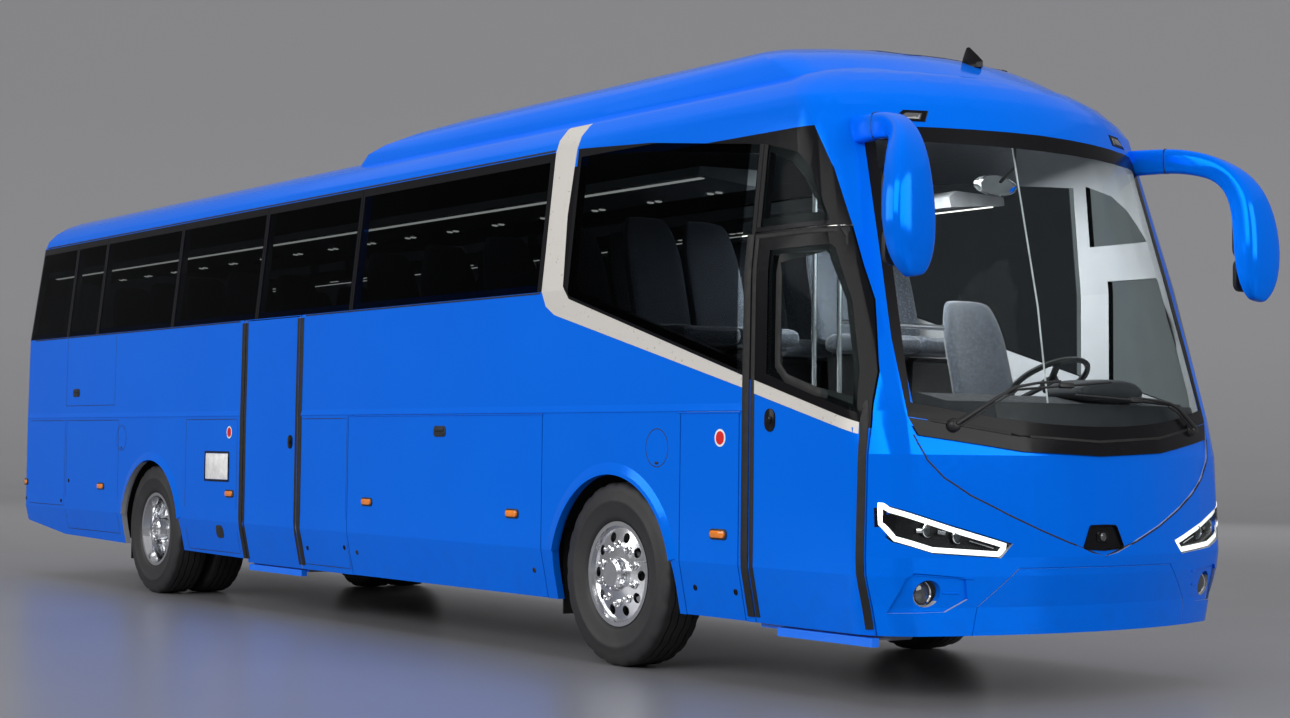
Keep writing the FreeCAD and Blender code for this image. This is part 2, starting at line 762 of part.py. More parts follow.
def windscreen_outline(inset=0.0):
    """The windscreen: low edge dips in the middle, sides lean in with the corner posts."""
    low, top = WINDSCREEN_LOW + inset, WINDSCREEN_TOP - inset
    side_low, side_head = WINDSCREEN_HALF_LOW - inset, WINDSCREEN_HALF_HEAD - inset
    return symmetric(((0.0, low), (500.0, low + 25), (side_low, low + 110),
                      (side_low, low + 500), (side_head, top - 60), (side_head - 60, top - 8),
                      (0.0, top)))


def cowl_outline():
    """The black band that carries the wipers."""
    low = float(D.cowl_height)
    high = WINDSCREEN_LOW - 3
    return symmetric(((0.0, low), (500.0, low + 20), (1040.0, low + 95),
                      (WINDSCREEN_HALF_LOW, high + 110), (500.0, high + 25), (0.0, high)))


def headlamp_outline(grow=0.0):
    """A headlamp: narrow at its inner end, rising and widening round the corner."""
    return ((-585.0 + grow, 790.0 + grow), (-655.0, 722.0 - grow), (-1000.0, 745.0 - grow),
            (-1180.0, 800.0 - grow), (-1262.0 - grow, 880.0), (-1262.0 - grow, 1010.0 + grow),
            (-1182.0, 972.0 + grow), (-900.0, 880.0 + grow))


FOG_LAMP = (-1000.0, 548.0)
FOG_RADIUS = 66.0
PROJECTORS = ((-1012.0, 856.0), (-866.0, 826.0))
PROJECTOR_RADIUS = 36.0


def scoop_outline():
    """The shallow scoop round a fog lamp."""
    return ((-800.0, 520.0), (-905.0, 458.0), (-1165.0, 452.0), (-1120.0, 622.0), (-1085.0, 650.0),
            (-830.0, 628.0))


def front_round(centre, radius, low=4300.0, high=FAR):
    """A round bar that runs forward through the front at a (y, height) centre."""
    return Part.makeCylinder(radius, high - low, VEC(low, centre[0], centre[1]), FORWARD)


def front_panel_outline():
    """The V-shaped panel under the wiper band, its sides one smooth line through the tip."""
    tip = float(D.nose_height)
    right = ((240.0, tip + 73), (420.0, tip + 138), (599.0, tip + 213), (800.0, tip + 308),
             (930.0, tip + 392), (1010.0, tip + 478), (1046.0, tip + 560), (1068.0, tip + 640))
    line = [(-y, z) for y, z in reversed(right)] + [(0.0, tip)] + list(right)
    curve = Part.BSplineCurve()
    curve.interpolate([VEC(0, y, z) for y, z in line])
    edge = [(point.y, point.z) for point in curve.discretize(Number=V_LINE_CHORDS + 1)]
    high = float(D.cowl_height) + 36
    top = [(1030.0, high + 96), (500.0, high + 22), (0.0, high), (-500.0, high + 22),
           (-1030.0, high + 96)]
    return front_slab(edge + top)


V_LINE_CHORDS = 28


def camera_outline():
    """The opening of the forward camera, over the tip of the V-shaped panel."""
    low, high = float(D.nose_height) + 33, float(D.nose_height) + 155
    return symmetric(((0.0, low - 8), (132.0, low), (144.0, low + 14), (98.0, high - 8),
                      (86.0, high), (0.0, high + 2)))


def tow_panel_outline(grow):
    """The panel in the middle of the bumper."""
    return symmetric(((0.0, BUMPER_TOP + grow), (546.0 + grow * 0.6, BUMPER_TOP + grow),
                      (743.0 + grow, CREASE_HEIGHT + 4.0), (790.0 + grow, 0.0), (0.0, 0.0)))


HEADLAMP_REAR = GAP + 72
FOG_SCOOP = 14.0
FRONT_REGION = ahead_of_line(GAP)
front_shell = WALL_SKIN.common(FRONT_REGION)
mask_span = block((4300, FAR), (-FAR, FAR), (BUMPER_TOP, CANT))
mask_tools = [front_slab(windscreen_outline(40.0)), front_slab(cowl_outline()),
              REBATE_SKIN.common(front_slab(windscreen_outline(-1.0)))]
headlamp_hole = front_slab(headlamp_outline(1.0)).common(ahead_of_line(HEADLAMP_REAR - 2))
panel_recess = Skin(-20, D.panel_step).common(front_panel_outline())
camera_pocket = Skin(-20, D.lamp_depth).common(front_slab(camera_outline()))
groove_skin = Skin(-20, D.glass)
tow_groove = groove_skin.common(front_slab(tow_panel_outline(2.0))).cut(
    front_slab(tow_panel_outline(-2.0)))
mask_tools += [headlamp_hole, mirrored(headlamp_hole), panel_recess, camera_pocket, tow_groove]
feature("front_mask", front_shell.common(mask_span).cut(mask_tools))
feature("windscreen", GLASS_SKIN.common(front_slab(windscreen_outline())))
feature("wiper_cowl", WALL_SKIN.common(front_slab(cowl_outline())))

bumper_span = block((4300, FAR), (-FAR, FAR), (0, BUMPER_TOP))
fog_hole = front_round(FOG_LAMP, FOG_RADIUS)
scoop = Skin(-20, FOG_SCOOP).common(front_slab(scoop_outline()))
bumper_tools = [fog_hole, mirrored(fog_hole), scoop, mirrored(scoop), tow_groove]
feature("front_bumper", front_shell.common(bumper_span).cut(bumper_tools))

lamp_shell = Skin(0, 8.0)
lamp_space = ahead_of_line(HEADLAMP_REAR)
lens = lamp_shell.common(front_slab(headlamp_outline(-1.0))).common(lamp_space)
feature("headlamp_lenses", both(lens))
lamp_depth = float(D.lamp_depth)
lamp_body = Skin(lamp_depth, 150.0).common(front_slab(headlamp_outline(-4.0))).common(lamp_space)
light_guide = Skin(FOG_SCOOP, lamp_depth + 2).common(
    front_slab(headlamp_outline(-7.0)).cut(front_slab(headlamp_outline(-27.0))))
lamp_parts = [light_guide.common(ahead_of_line(HEADLAMP_REAR + 6))]
for y, z in PROJECTORS:
    barrel = Skin(FOG_SCOOP + 4, lamp_depth + 60).common(front_round((y, z), PROJECTOR_RADIUS))
    lamp_parts.append(barrel)
lamp_body = lamp_body.fuse(lamp_parts)


def fog_lamp():
    """A round fog lamp: a barrel behind the bumper, with a domed lens."""
    y, z = FOG_LAMP
    radius = FOG_RADIUS - 0.3
    face = nose_at(z) - (float(D.front_bow_low) - math.sqrt(float(D.front_bow_low) ** 2 - y * y)) - 62
    barrel = Part.makeCylinder(radius, 70, VEC(face - 70, y, z), FORWARD)
    dome_radius = 130.0
    rise = 16.0
    dome = Part.makeSphere(dome_radius, VEC(face + rise - dome_radius, y, z))
    cap = dome.common(Part.makeCylinder(radius - 8, 40, VEC(face - 10, y, z), FORWARD))
    return barrel.fuse(cap)


feature("front_lamps", Part.makeCompound([both(lamp_body), both(fog_lamp())]))


# The rear: wall with its corners, window, lid over the engine, lamps.

LID_HALF = 930.0
LID_LOW = SKIRT + 260
LID_HIGH = BELT + 90
REAR_WINDOW_HALF = 960.0
REAR_WINDOW_LOW = SILL + 60
REAR_WINDOW_HIGH = HEAD - 110


def rear_slab(points):
    """A (y, height) outline run back through the rear."""
    return prism(points, -FAR, float(TAIL) + 700, "x")


def lid_outline(gap=0.0):
    """The engine lid."""
    return rectangle((-LID_HALF - gap, LID_HALF + gap), (LID_LOW - gap, LID_HIGH + gap))


def rear_window_outline(inset=0.0):
    """The rear window."""
    return rectangle((-REAR_WINDOW_HALF + inset, REAR_WINDOW_HALF - inset),
                     (REAR_WINDOW_LOW + inset, REAR_WINDOW_HIGH - inset))


def tail_lamp_outline(grow=0.0):
    """A stack of tail lamps in a rear corner."""
    return rectangle((-1190.0 - grow, -1040.0 + grow), (SKIRT + 560 - grow, SKIRT + 1130 + grow))


rear_span = block((-FAR, REAR_JOINT), (-FAR, FAR), (0, CANT))
rear_tools = [rear_slab(lid_outline(GAP)), rear_slab(rear_window_outline(PANE_MARGIN)),
              REBATE_SKIN.common(rear_slab(rear_window_outline(-1.0)))]
for side_name, side in SIDES:
    rear_tools.append(skirt_trim(side))
    rear_pane = side_panes(-1.0)[0]
    rear_tools.append(REBATE_SKIN.common(side_slab(rear_pane, side)))
lamp_hole = rear_slab(tail_lamp_outline())
rear_tools += [lamp_hole, mirrored(lamp_hole)]
rear_wall = WALL_SKIN.common(rear_span).cut(rear_tools)
LID_AXIS_X = float(TAIL) - 4
LID_AXIS_Z = LID_HIGH + 4.0
LID_HINGES = (-500.0, 500.0)
LID_ROD = 6.0


def lid_leaf(low, high):
    """The two leaves of the lid's hinges, from the bodywork out to the rod."""
    return [block((LID_AXIS_X - 3, LID_AXIS_X + 32), (y - 50, y + 50), (low, high))
            for y in LID_HINGES]


lid_rods = [tube(LID_ROD, (LID_AXIS_X, y - 60, LID_AXIS_Z), (LID_AXIS_X, y + 60, LID_AXIS_Z))
            for y in LID_HINGES]
rod_space = [tube(LID_ROD + 0.3, (LID_AXIS_X, y - 70, LID_AXIS_Z),
                  (LID_AXIS_X, y + 70, LID_AXIS_Z)) for y in LID_HINGES]
feature("rear_wall", rear_wall.fuse(lid_leaf(LID_AXIS_Z + 3, LID_AXIS_Z + 30) + lid_rods))
feature("rear_window", GLASS_SKIN.common(rear_slab(rear_window_outline())))
LOUVRES = 7
louvre_slots = []
for number in range(LOUVRES):
    low = LID_LOW + 130 + number * 52.0
    for middle in (-430.0, 430.0):
        louvre_slots.append(rear_slab(rectangle((middle - 330, middle + 330), (low, low + 26))))
lid = WALL_SKIN.common(rear_slab(lid_outline())).cut(louvre_slots)
lid = lid.fuse(lid_leaf(LID_AXIS_Z - 30, LID_AXIS_Z - 2)).cut(rod_space)
feature("engine_lid", lid)
LENS_COUNT = 3
LENS_GAP = 8.0
lamp_solid = Skin(0, WALL - 2.0).common(rear_slab(tail_lamp_outline(-0.3)))
lens_pitch = 570.0 / LENS_COUNT
lens_slots = []
for number in range(1, LENS_COUNT):
    height = SKIRT + 560 + number * lens_pitch
    lens_slots.append(Skin(-20, D.panel_step).common(
        rear_slab(rectangle((-1250, -980), (height - LENS_GAP / 2, height + LENS_GAP / 2)))))
feature("tail_lamps", both(lamp_solid.cut(lens_slots)))


# The roof: shell, front dome and the fairing of the air conditioner behind it.

ROOF_WALL = float(D.roof_wall)
FAIRING_JOINT = BAND_FRONT + 60


FAIRING_LEVELS = 11


def fairing_guides():
    """Guide levels of the dome and fairing: (height, half width, nose, tail)."""
    crown = float(D.dome_height)
    return (
        (CANT + 55, 1020.0, 5655.0, -235.0),
        (CANT + 140, 1005.0, 5530.0, -215.0),
        (CANT + 240, 975.0, 5335.0, -175.0),
        (crown - 175, 925.0, 5165.0, 110.0),
        (crown - 105, 800.0, 4900.0, 700.0),
        (crown - 45, 600.0, 4560.0, 1700.0),
        (crown - 12, 380.0, 4240.0, 2900.0),
        (crown, 200.0, 4050.0, 3500.0),
    )


def fairing_sections():
    """Closely spaced levels on smooth curves through the guide levels."""
    guides = fairing_guides()
    steps = [float(number) for number in range(len(guides))]
    curves = []
    for first, second in ((0, 1), (2, 3)):
        curve = Part.BSplineCurve()
        curve.interpolate(Points=[VEC(row[first], row[second], 0) for row in guides],
                          Parameters=steps)
        curves.append(curve)
    sections = []
    for number in range(FAIRING_LEVELS):
        at = steps[-1] * number / (FAIRING_LEVELS - 1)
        level, ends = curves[0].value(at), curves[1].value(at)
        sections.append((level.x, level.y, ends.x, ends.y))
    return sections


def faceted(sections):
    """A solid of flat three-cornered facets through rings of points, closed at both ends."""
    faces = []
    for first, second in zip(sections, sections[1:]):
        for index in range(len(first)):
            after = (index + 1) % len(first)
            faces.append(Part.Face(Part.makePolygon([first[index], first[after], second[after],
                                                     first[index]])))
            faces.append(Part.Face(Part.makePolygon([first[index], second[after], second[index],
                                                     first[index]])))
    for ring in (sections[0], sections[-1]):
        faces.append(Part.Face(Part.makePolygon(ring + ring[:1])))
    shell = Part.makeShell(faces)
    shell.sewShape()
    solid = Part.makeSolid(shell)
    return solid if solid.Volume > 0 else solid.reversed()


def fairing(inset=0.0):
    """The raised dome and fairing as one block, drawn in by an inset."""
    sections = []
    for height, half, nose, tail in fairing_sections():
        half, nose, tail = half - inset, nose - inset, tail + inset
        corner = min(300.0, 0.72 * half)
        bow = 1.25 * half
        section = level_section(height - inset, half, nose, tail, bow, corner, 5000.0,
                                min(220.0, 0.6 * half))
        sections.append([vertex.Point for vertex in section.OrderedVertexes])
    return faceted(sections)


roof_span = block((-FAR, FAR), (-FAR, FAR), (CANT, FAR))
FAIRING_WALL = 40.0
whole_fairing = fairing()
hollow = fairing(FAIRING_WALL)
raised = whole_fairing.cut(hollow).cut(hull(0))
dome_span = block((FAIRING_JOINT, FAR), (-FAR, FAR), (0, FAR))
roof = Skin(0, ROOF_WALL).common(roof_span)
band_seats = [BAND_SEAT.common(side_slab(band_outline(0.5), side)) for _, side in SIDES]
feature("roof_shell", roof.cut(band_seats))
dome_parts = raised.common(dome_span).Solids
feature("front_dome", max(dome_parts, key=lambda solid: solid.Volume))
feature("roof_unit", raised.cut(dome_span))


# Doors: each leaf swings out on an arm and stays parallel to the side.

DOOR_FOOT = SKIRT - 5
DOOR_POST_TOP = 1400.0
ARM_HEIGHTS = (800.0, 1250.0)
ARM_RADIUS = 17.0
EYE_RADIUS = 26.0
EYE_HALF = 22.0
PIN_CLEAR = 0.3


def door_leaf(outline, glass_outline, pivot_x):
    """A door leaf on the right side, with the ears and pins of its pivots."""
    leaf = WALL_SKIN.common(side_slab(outline, RIGHT_SIDE))
    foot = side_slab(rectangle((-FAR, FAR), (0, DOOR_FOOT)), RIGHT_SIDE, depth=1200)
    tools = [foot]
    if glass_outline:
        tools.append(side_slab(glass_outline(28.0), RIGHT_SIDE))
        tools.append(REBATE_SKIN.common(side_slab(glass_outline(-1.0), RIGHT_SIDE)))
    leaf = leaf.cut(tools)
    pivot_y = -float(D.door_pivot_side)
    inner_y = -float(HALF) + WALL
    parts = []
    for height in ARM_HEIGHTS:
        for low in (height - EYE_HALF - 14, height + EYE_HALF + 2):
            ear = block((pivot_x - 24, pivot_x + 24), (inner_y - 3, pivot_y), (low, low + 12))
            parts.append(ear.fuse(tube(24, (pivot_x, pivot_y, low), (pivot_x, pivot_y, low + 12))))
        parts.append(tube(D.door_pivot_radius, (pivot_x, pivot_y, height - EYE_HALF - 14),
                          (pivot_x, pivot_y, height + EYE_HALF + 14)))
    return leaf.fuse(parts)


def door_arm(post_x, pivot_x):
    """A door's post with its two arms, each ending in an eye round the leaf's pin."""
    post_y = -float(D.door_post_side)
    pivot_y = -float(D.door_pivot_side)
    post = tube(D.door_post_radius, (post_x, post_y, STEP_FOOT + 1),
                (post_x, post_y, DOOR_POST_TOP))
    parts, bores = [], []
    for height in ARM_HEIGHTS:
        parts.append(tube(ARM_RADIUS, (post_x, post_y, height), (pivot_x, pivot_y, height)))
        parts.append(tube(EYE_RADIUS, (pivot_x, pivot_y, height - EYE_HALF),
                          (pivot_x, pivot_y, height + EYE_HALF)))
        bores.append(tube(D.door_pivot_radius + PIN_CLEAR, (pivot_x, pivot_y, height - 60),
                          (pivot_x, pivot_y, height + 60)))
    return post.fuse(parts).cut(bores)


def door_bearings(post_x, jamb_x):
    """The foot and head bearings of a door post; the head one reaches to the front jamb."""
    post_y = -float(D.door_post_side)
    hole = tube(D.door_post_radius + PIN_CLEAR, (post_x, post_y, 0), (post_x, post_y, FAR))
    foot = block((post_x - 45, post_x + 45), (post_y - 30, post_y + 60),
                 (STEP_FOOT + 0.3, STEP_FOOT + 30))
    head = block((post_x - 45, jamb_x), (post_y - 40, post_y + 60),
                 (DOOR_POST_TOP - 30, DOOR_POST_TOP))
    return [foot.cut(hole), head.common(hull(WALL + 0.3)).cut(hole)]


STEP_FOOT = SKIRT + 50
FRONT_POST_X = float(D.door_front - D.door_post_inset)
FRONT_PIVOT_X = FRONT_POST_X - float(D.door_arm_reach)
MID_POST_X = float(D.mid_door_front - D.door_post_inset)
MID_PIVOT_X = MID_POST_X - float(D.door_arm_reach)

feature("front_door", door_leaf(front_door_outline(), door_window_outline, FRONT_PIVOT_X))
feature("front_door_glass", GLASS_SKIN.common(side_slab(door_window_outline(), RIGHT_SIDE)))
feature("front_door_arm", door_arm(FRONT_POST_X, FRONT_PIVOT_X))
feature("mid_door", door_leaf(middle_door_outline(), None, MID_PIVOT_X))
feature("mid_door_arm", door_arm(MID_POST_X, MID_PIVOT_X))


# Floors, luggage hold, steps and wheel housings.

INSIDE = float(HALF) - WALL - 0.3
DECK_TOP = float(D.floor_top)
DECK_LOW = DECK_TOP - float(D.floor_skin)
CAB_FLOOR = float(D.cab_floor_top)
CAB_REAR = 4300.0
CAB_SPLIT = -430.0
HOLD_REAR = -345.0
HOLD_FRONT = float(FRONT_AXLE - D.house_radius - D.house_skin) - 0.3
STAIR_SIDE = -430.0
HOUSE_SIDE = 452.0
ROOM = hull(WALL + 0.3)


def wheel_housing(axle, side):
    """A half-round wheel housing between the skirt and the chassis rail."""
    low, high = sorted_pair(side * HOUSE_SIDE, side * INSIDE)
    centre = float(D.arch_centre)
    outer = float(D.house_radius + D.house_skin)
    inner = float(D.house_radius)
    foot = 60.0

    def half_round(radius):
        ring = Part.makeCylinder(radius, high - low, VEC(float(axle), low, centre), LEFT)
        legs = block((float(axle) - radius, float(axle) + radius), (low, high),
                     (centre - foot, centre))
        return ring.common(block((-FAR, FAR), (low, high), (centre, FAR))).fuse(legs)

    return half_round(outer).cut(half_round(inner))


housings = [wheel_housing(axle, side) for axle in (FRONT_AXLE, REAR_AXLE) for _, side in SIDES]
feature("wheel_housings", Part.makeCompound([housing.common(ROOM) for housing in housings]))
housing_space = [Part.makeCylinder(float(D.house_radius + D.house_skin), 2 * INSIDE,
                                   VEC(float(axle), -INSIDE, float(D.arch_centre)), LEFT)
                 for axle in (FRONT_AXLE, REAR_AXLE)]

ACROSS = (-INSIDE - 30, INSIDE + 30)
deck = block((float(TAIL) + 60, CAB_REAR), ACROSS, (DECK_LOW, DECK_TOP)).common(ROOM)
mid_well = block((float(D.mid_door_rear) - 20, float(D.mid_door_front) + 20),
                 (-INSIDE - 50, STAIR_SIDE), (0, FAR))

cab_plate = block((CAB_REAR, NOSE - 375), (CAB_SPLIT, ACROSS[1]), (CAB_FLOOR - 45, CAB_FLOOR))
riser = block((CAB_REAR - 30, CAB_REAR), ACROSS, (CAB_FLOOR - 45, DECK_LOW))
cab = cab_plate.fuse(riser).common(ROOM).cut(housing_space)
feature("floor_deck", deck.cut(mid_well).fuse(cab).removeSplitter())

hold_floor = block((HOLD_REAR, HOLD_FRONT), (-INSIDE, INSIDE),
                   (float(D.hold_floor_top - D.hold_skin), float(D.hold_floor_top)))
bulkheads = [block((low, low + float(D.hold_skin)), (-INSIDE, INSIDE),
                   (float(D.hold_floor_top) - 30, DECK_LOW))
             for low in (HOLD_REAR, HOLD_FRONT - float(D.hold_skin))]
feature("hold_tub", hold_floor.fuse(bulkheads).common(ROOM))


def stair(x, heads, first_y, tread, back_y, foot):
    """Steps that rise from the doorway towards the aisle, as one folded block."""
    y = first_y
    points = [(-INSIDE, foot), (-INSIDE, heads[0])]
    for head, after in zip(heads, heads[1:]):
        y += tread
        points += [(y, head), (y, after)]
    points += [(back_y, heads[-1]), (back_y, heads[-1] - 60), (-INSIDE + 260, foot)]
    return prism(points, x[0], x[1], "x")


front_steps = stair((float(D.door_rear) - 20, float(D.door_front) + 20),
                    (SKIRT + 50, SKIRT + 290, SKIRT + 500), -INSIDE, 270.0, CAB_SPLIT, SKIRT - 25)
walk_up = prism(((CAB_SPLIT - 10, CAB_FLOOR - 5), (CAB_SPLIT - 10, CAB_FLOOR - 60),
                 (-INSIDE, CAB_FLOOR - 60), (-INSIDE, CAB_FLOOR - 5)), CAB_REAR,
                float(D.door_rear) - 20, "x")
cab_step = block((CAB_REAR, CAB_REAR + 280), (CAB_SPLIT + 20, 150.0), (CAB_FLOOR, CAB_FLOOR + 235))
front_well = [shape.common(ROOM).cut(housing_space) for shape in (front_steps.fuse(walk_up),)]
mid_steps = stair((float(D.mid_door_rear) - 10, HOLD_REAR),
                  (SKIRT + 50, SKIRT + 290, SKIRT + 530, SKIRT + 770), -INSIDE, 200.0,
                  STAIR_SIDE, SKIRT - 25)

bearings = door_bearings(FRONT_POST_X, float(D.door_front) + 85)
bearings += door_bearings(MID_POST_X, HOLD_REAR - 0.3)


def step_panel(rear, front):
    """The panel that closes the gap under a door, on the front of its lowest step."""
    back = -float(HALF) + WALL + 60.0
    low, high = SKIRT - 55, DOOR_FOOT - 6
    return block((float(rear), float(front)), (back - 44, back - 0.3), (low, high))


panels = [step_panel(D.door_rear + 170, D.door_front + 12),
          step_panel(D.mid_door_rear + 12, D.mid_door_front - 12)]
feature("entry_steps", Part.makeCompound(front_well + [cab_step, mid_steps.common(ROOM)] + bearings
                                         + panels))


# Chassis: rails ahead of and behind the hold, and the engine as one block.

def rail(side, rear, front):
    """One chassis rail, a channel that opens towards the middle."""
    label = "rail_%s_%d" % ("r" if side < 0 else "l", 0 if rear < 0 else 1)
    middle = D.rail_centre * side
    outer = box_object(label, (rear, front), (middle - D.rail_width / 2, middle + D.rail_width / 2),
                       (D.rail_low, D.rail_high))
    open_low = middle - D.rail_width / 2 - 1 if side > 0 else middle - D.rail_width / 2 + 10
    slot = box_object(label + "_slot", (rear - 1, front + 1),
                      (open_low, open_low + D.rail_width - 9),
                      (D.rail_low + 12, D.rail_high - 12))
    return cut(label + "_channel", outer, slot)


def cross_member(label, x):
    """A round tube across between the rails."""
    reach = D.rail_centre + D.rail_width / 2 - 5
    return rod_object(label, 42, reach * 2, x, -reach, (D.rail_low + D.rail_high) / 2, axis=LEFT)


FRONT_RAIL_END = NOSE - 420
REAR_RAIL_START = TAIL + 170
RAIL_SPLIT_FRONT = HOLD_FRONT + 0.3
RAIL_SPLIT_REAR = HOLD_REAR - 0.3


def chassis_part(label, rear, front, axle, members):
    """Rails, cross members and axle brackets of one end."""
    parts = [rail(side, rear, front) for _, side in SIDES]
    parts += [cross_member("%s_member_%d" % (label, number), x)
              for number, x in enumerate(members)]
    for name, side in SIDES:
        middle = D.rail_centre * side
        parts.append(box_object("%s_bracket_%s" % (label, name), (axle - 60, axle + 60),
                                (middle - 30, middle + 30), (AXLE_TOP, D.rail_low + 4)))
    return fused(label, *parts)


AXLE_HALF = 60
AXLE_TOP = D.tyre_radius + AXLE_HALF
front_frame = chassis_part("front_frame", RAIL_SPLIT_FRONT, FRONT_RAIL_END, FRONT_AXLE,
                           (3050, 4700, 5500))
rear_frame = chassis_part("rear_frame", REAR_RAIL_START, RAIL_SPLIT_REAR, REAR_AXLE,
                          (-1700, -4350))
doc.recompute()
feature("chassis_frame", Part.makeCompound([front_frame.Shape, rear_frame.Shape]))
RAIL_INSIDE = D.rail_centre - D.rail_width / 2 - PIN_CLEAR
keep("engine_block", box_object("engine_box", (TAIL + 190, TAIL + 1500), (-RAIL_INSIDE, RAIL_INSIDE),
                                (D.rail_low - 90, D.rail_low + 700)))


# Axles, knuckles and wheels.

AXLE_Z = D.tyre_radius
KINGPIN_Y = D.kingpin_track / 2


JACK_PAD = 600
JACK_PAD_DROP = 10


def front_axle_beam():
    """The front axle: a beam with an upright boss for each kingpin."""
    beam = box_object("front_beam", (FRONT_AXLE - 45, FRONT_AXLE + 45),
                      (-KINGPIN_Y, KINGPIN_Y), (AXLE_Z - AXLE_HALF, AXLE_Z + AXLE_HALF))
    bosses = [rod_object("boss_" + name, 60, 2 * AXLE_HALF, FRONT_AXLE, KINGPIN_Y * side,
                         AXLE_Z - AXLE_HALF) for name, side in SIDES]
    bores = [rod_object("kingpin_bore_" + name, D.kingpin_radius + D.running_gap,
                        2 * AXLE_HALF + 20, FRONT_AXLE, KINGPIN_Y * side,
                        AXLE_Z - AXLE_HALF - 10) for name, side in SIDES]
    pads = [box_object("jack_pad_" + name, (FRONT_AXLE - 55, FRONT_AXLE + 55),
                       (JACK_PAD * side - 45, JACK_PAD * side + 45),
                       (AXLE_Z - AXLE_HALF - JACK_PAD_DROP, AXLE_Z - AXLE_HALF + 1))
            for name, side in SIDES]
    solid = fused("front_beam_bosses", beam, *bosses, *pads)
    return keep("front_axle", cut("front_axle_cut", solid, fused("kingpin_bores", *bores)))


def knuckle(name, side):
    """A steering knuckle: fork round the axle's boss, kingpin and wheel spindle."""
    lug_gap = 0.5
    lug = 55
    y = KINGPIN_Y * side
    low = AXLE_Z - AXLE_HALF - lug_gap - lug
    high = AXLE_Z + AXLE_HALF + lug_gap
    parts = [rod_object("lug_low_" + name, 55, lug, FRONT_AXLE, y, low),
             rod_object("lug_high_" + name, 55, lug, FRONT_AXLE, y, high),
             rod_object("kingpin_" + name, D.kingpin_radius, high + lug - low, FRONT_AXLE, y, low)]
    inner, outer = 63, 95
    for label, start in (("web_low_", low), ("web_high_", high)):
        reach = (y, y + outer) if side > 0 else (y - outer, y)
        parts.append(box_object(label + name, (FRONT_AXLE - 50, FRONT_AXLE + 50), reach,
                                (start, start + lug)))
    back = (y + inner, y + outer) if side > 0 else (y - outer, y - inner)
    parts.append(box_object("back_" + name, (FRONT_AXLE - 50, FRONT_AXLE + 50), back,
                            (low, high + lug)))
    start = y + outer * side - 4 * side
    parts.append(rod_object("spindle_" + name, D.spindle_radius, SPINDLE_TIP - KINGPIN_Y - outer + 4,
                            FRONT_AXLE, start, AXLE_Z, axis=LEFT * side))
    return keep("knuckle_" + name, fused("knuckle_fork_" + name, *parts))


WHEEL_PLANE = D.track_outer / 2
SPINDLE_TIP = WHEEL_PLANE + 90
front_axle_beam()
for side_name, side in SIDES:
    knuckle(side_name, side)


def rear_axle_beam():
    """The rear axle: a banjo housing with a tapered tube to each hub."""
    tip = float(WHEEL_PLANE) + 60
    spindle = float(D.spindle_radius) + 15
    z = float(AXLE_Z)
    half = ((0, 215), (120, 205), (220, 150), (300, spindle), (tip, spindle))
    points = [(0.0, -tip)] + [(r, -a) for a, r in reversed(half)]
    points += [(r, a) for a, r in half[1:]] + [(0.0, tip)]
    housing = turned(points, (float(REAR_AXLE), 0, z), LEFT)
    pads = [block((float(REAR_AXLE) - 55, float(REAR_AXLE) + 55),
                  sorted_pair(side * 340.0, side * 440.0), (z - 70, float(AXLE_TOP)))
            for _, side in SIDES]
    return housing.fuse(pads)


feature("rear_axle", rear_axle_beam())

RIM_HALF = 116
SEAT = D.rim_seat_radius


def barrel_outside():
    """The outside of a rim's barrel, from its outer lip to its inner lip."""
    drop = SEAT - 30
    return [(D.rim_radius, RIM_HALF), (SEAT, 102), (SEAT, 62), (drop, 40), (drop, -20),
            (SEAT, -62), (SEAT, -102), (D.rim_radius, -RIM_HALF)]


def revolved_body(label, sketch_points, centre, side):
    """A turned piece about the axle's line, as a body with its own sketch."""
    body = doc.addObject("PartDesign::Body", label + "_body")
    sketch = sketch_on(body, "XZ_Plane", label + "_section")
    draw_polygon(sketch, sketch_points)
    turn = body.newObject("PartDesign::Revolution", label + "_turned")
    turn.Profile = sketch
    turn.ReferenceAxis = (sketch, ["V_Axis"])
    turn.Angle = 360
    body.Placement = FreeCAD.Placement(VEC(), FreeCAD.Rotation(UP, LEFT * side))
    place(body, centre[0], centre[1], centre[2])
    return body


def drilled(body, label, circle, radius, count, reach):
    """A ring of round holes through a wheel's disc."""
    doc.recompute()
    sketch = sketch_on(body, "XY_Plane", label + "_hole")
    draw_circle(sketch, circle / 2, 0, radius)
    hole = body.newObject("PartDesign::Pocket", label + "_pocket")
    hole.Profile = sketch
    hole.Reversed = True
    bind(hole, Length=reach)
    doc.recompute()
    ring = body.newObject("PartDesign::PolarPattern", label + "_ring")
    ring.Originals = [hole]
    ring.Axis = (sketch, ["N_Axis"])
    ring.Angle = 360
    bind(ring, Occurrences=count)
    body.Tip = ring
    doc.recompute()
    return body


def front_wheel(name, side):
    """A front wheel: disc near the outer lip, with a hub that stands proud of it."""
    bore = D.spindle_radius + D.running_gap
    barrel = barrel_outside()
    inside = [(SEAT - 14, -RIM_HALF), (SEAT - 42, -16), (SEAT - 42, 70), (200, 84),
              (D.hub_radius, 84), (D.hub_radius, 10), (100, -48), (bore, -48), (bore, 95), (0, 95),
              (0, 166), (70, 166), (92, 156), (98, 118), (150, 112), (262, 92), (SEAT - 12, RIM_HALF)]
    centre = (FRONT_AXLE, WHEEL_PLANE * side, AXLE_Z)
    body = revolved_body("wheel_front_" + name, barrel + inside, centre, side)
    drilled(body, "vent_front_" + name, D.vent_circle, D.vent_radius, D.vent_count, 130)
    return keep("wheel_front_" + name, body)


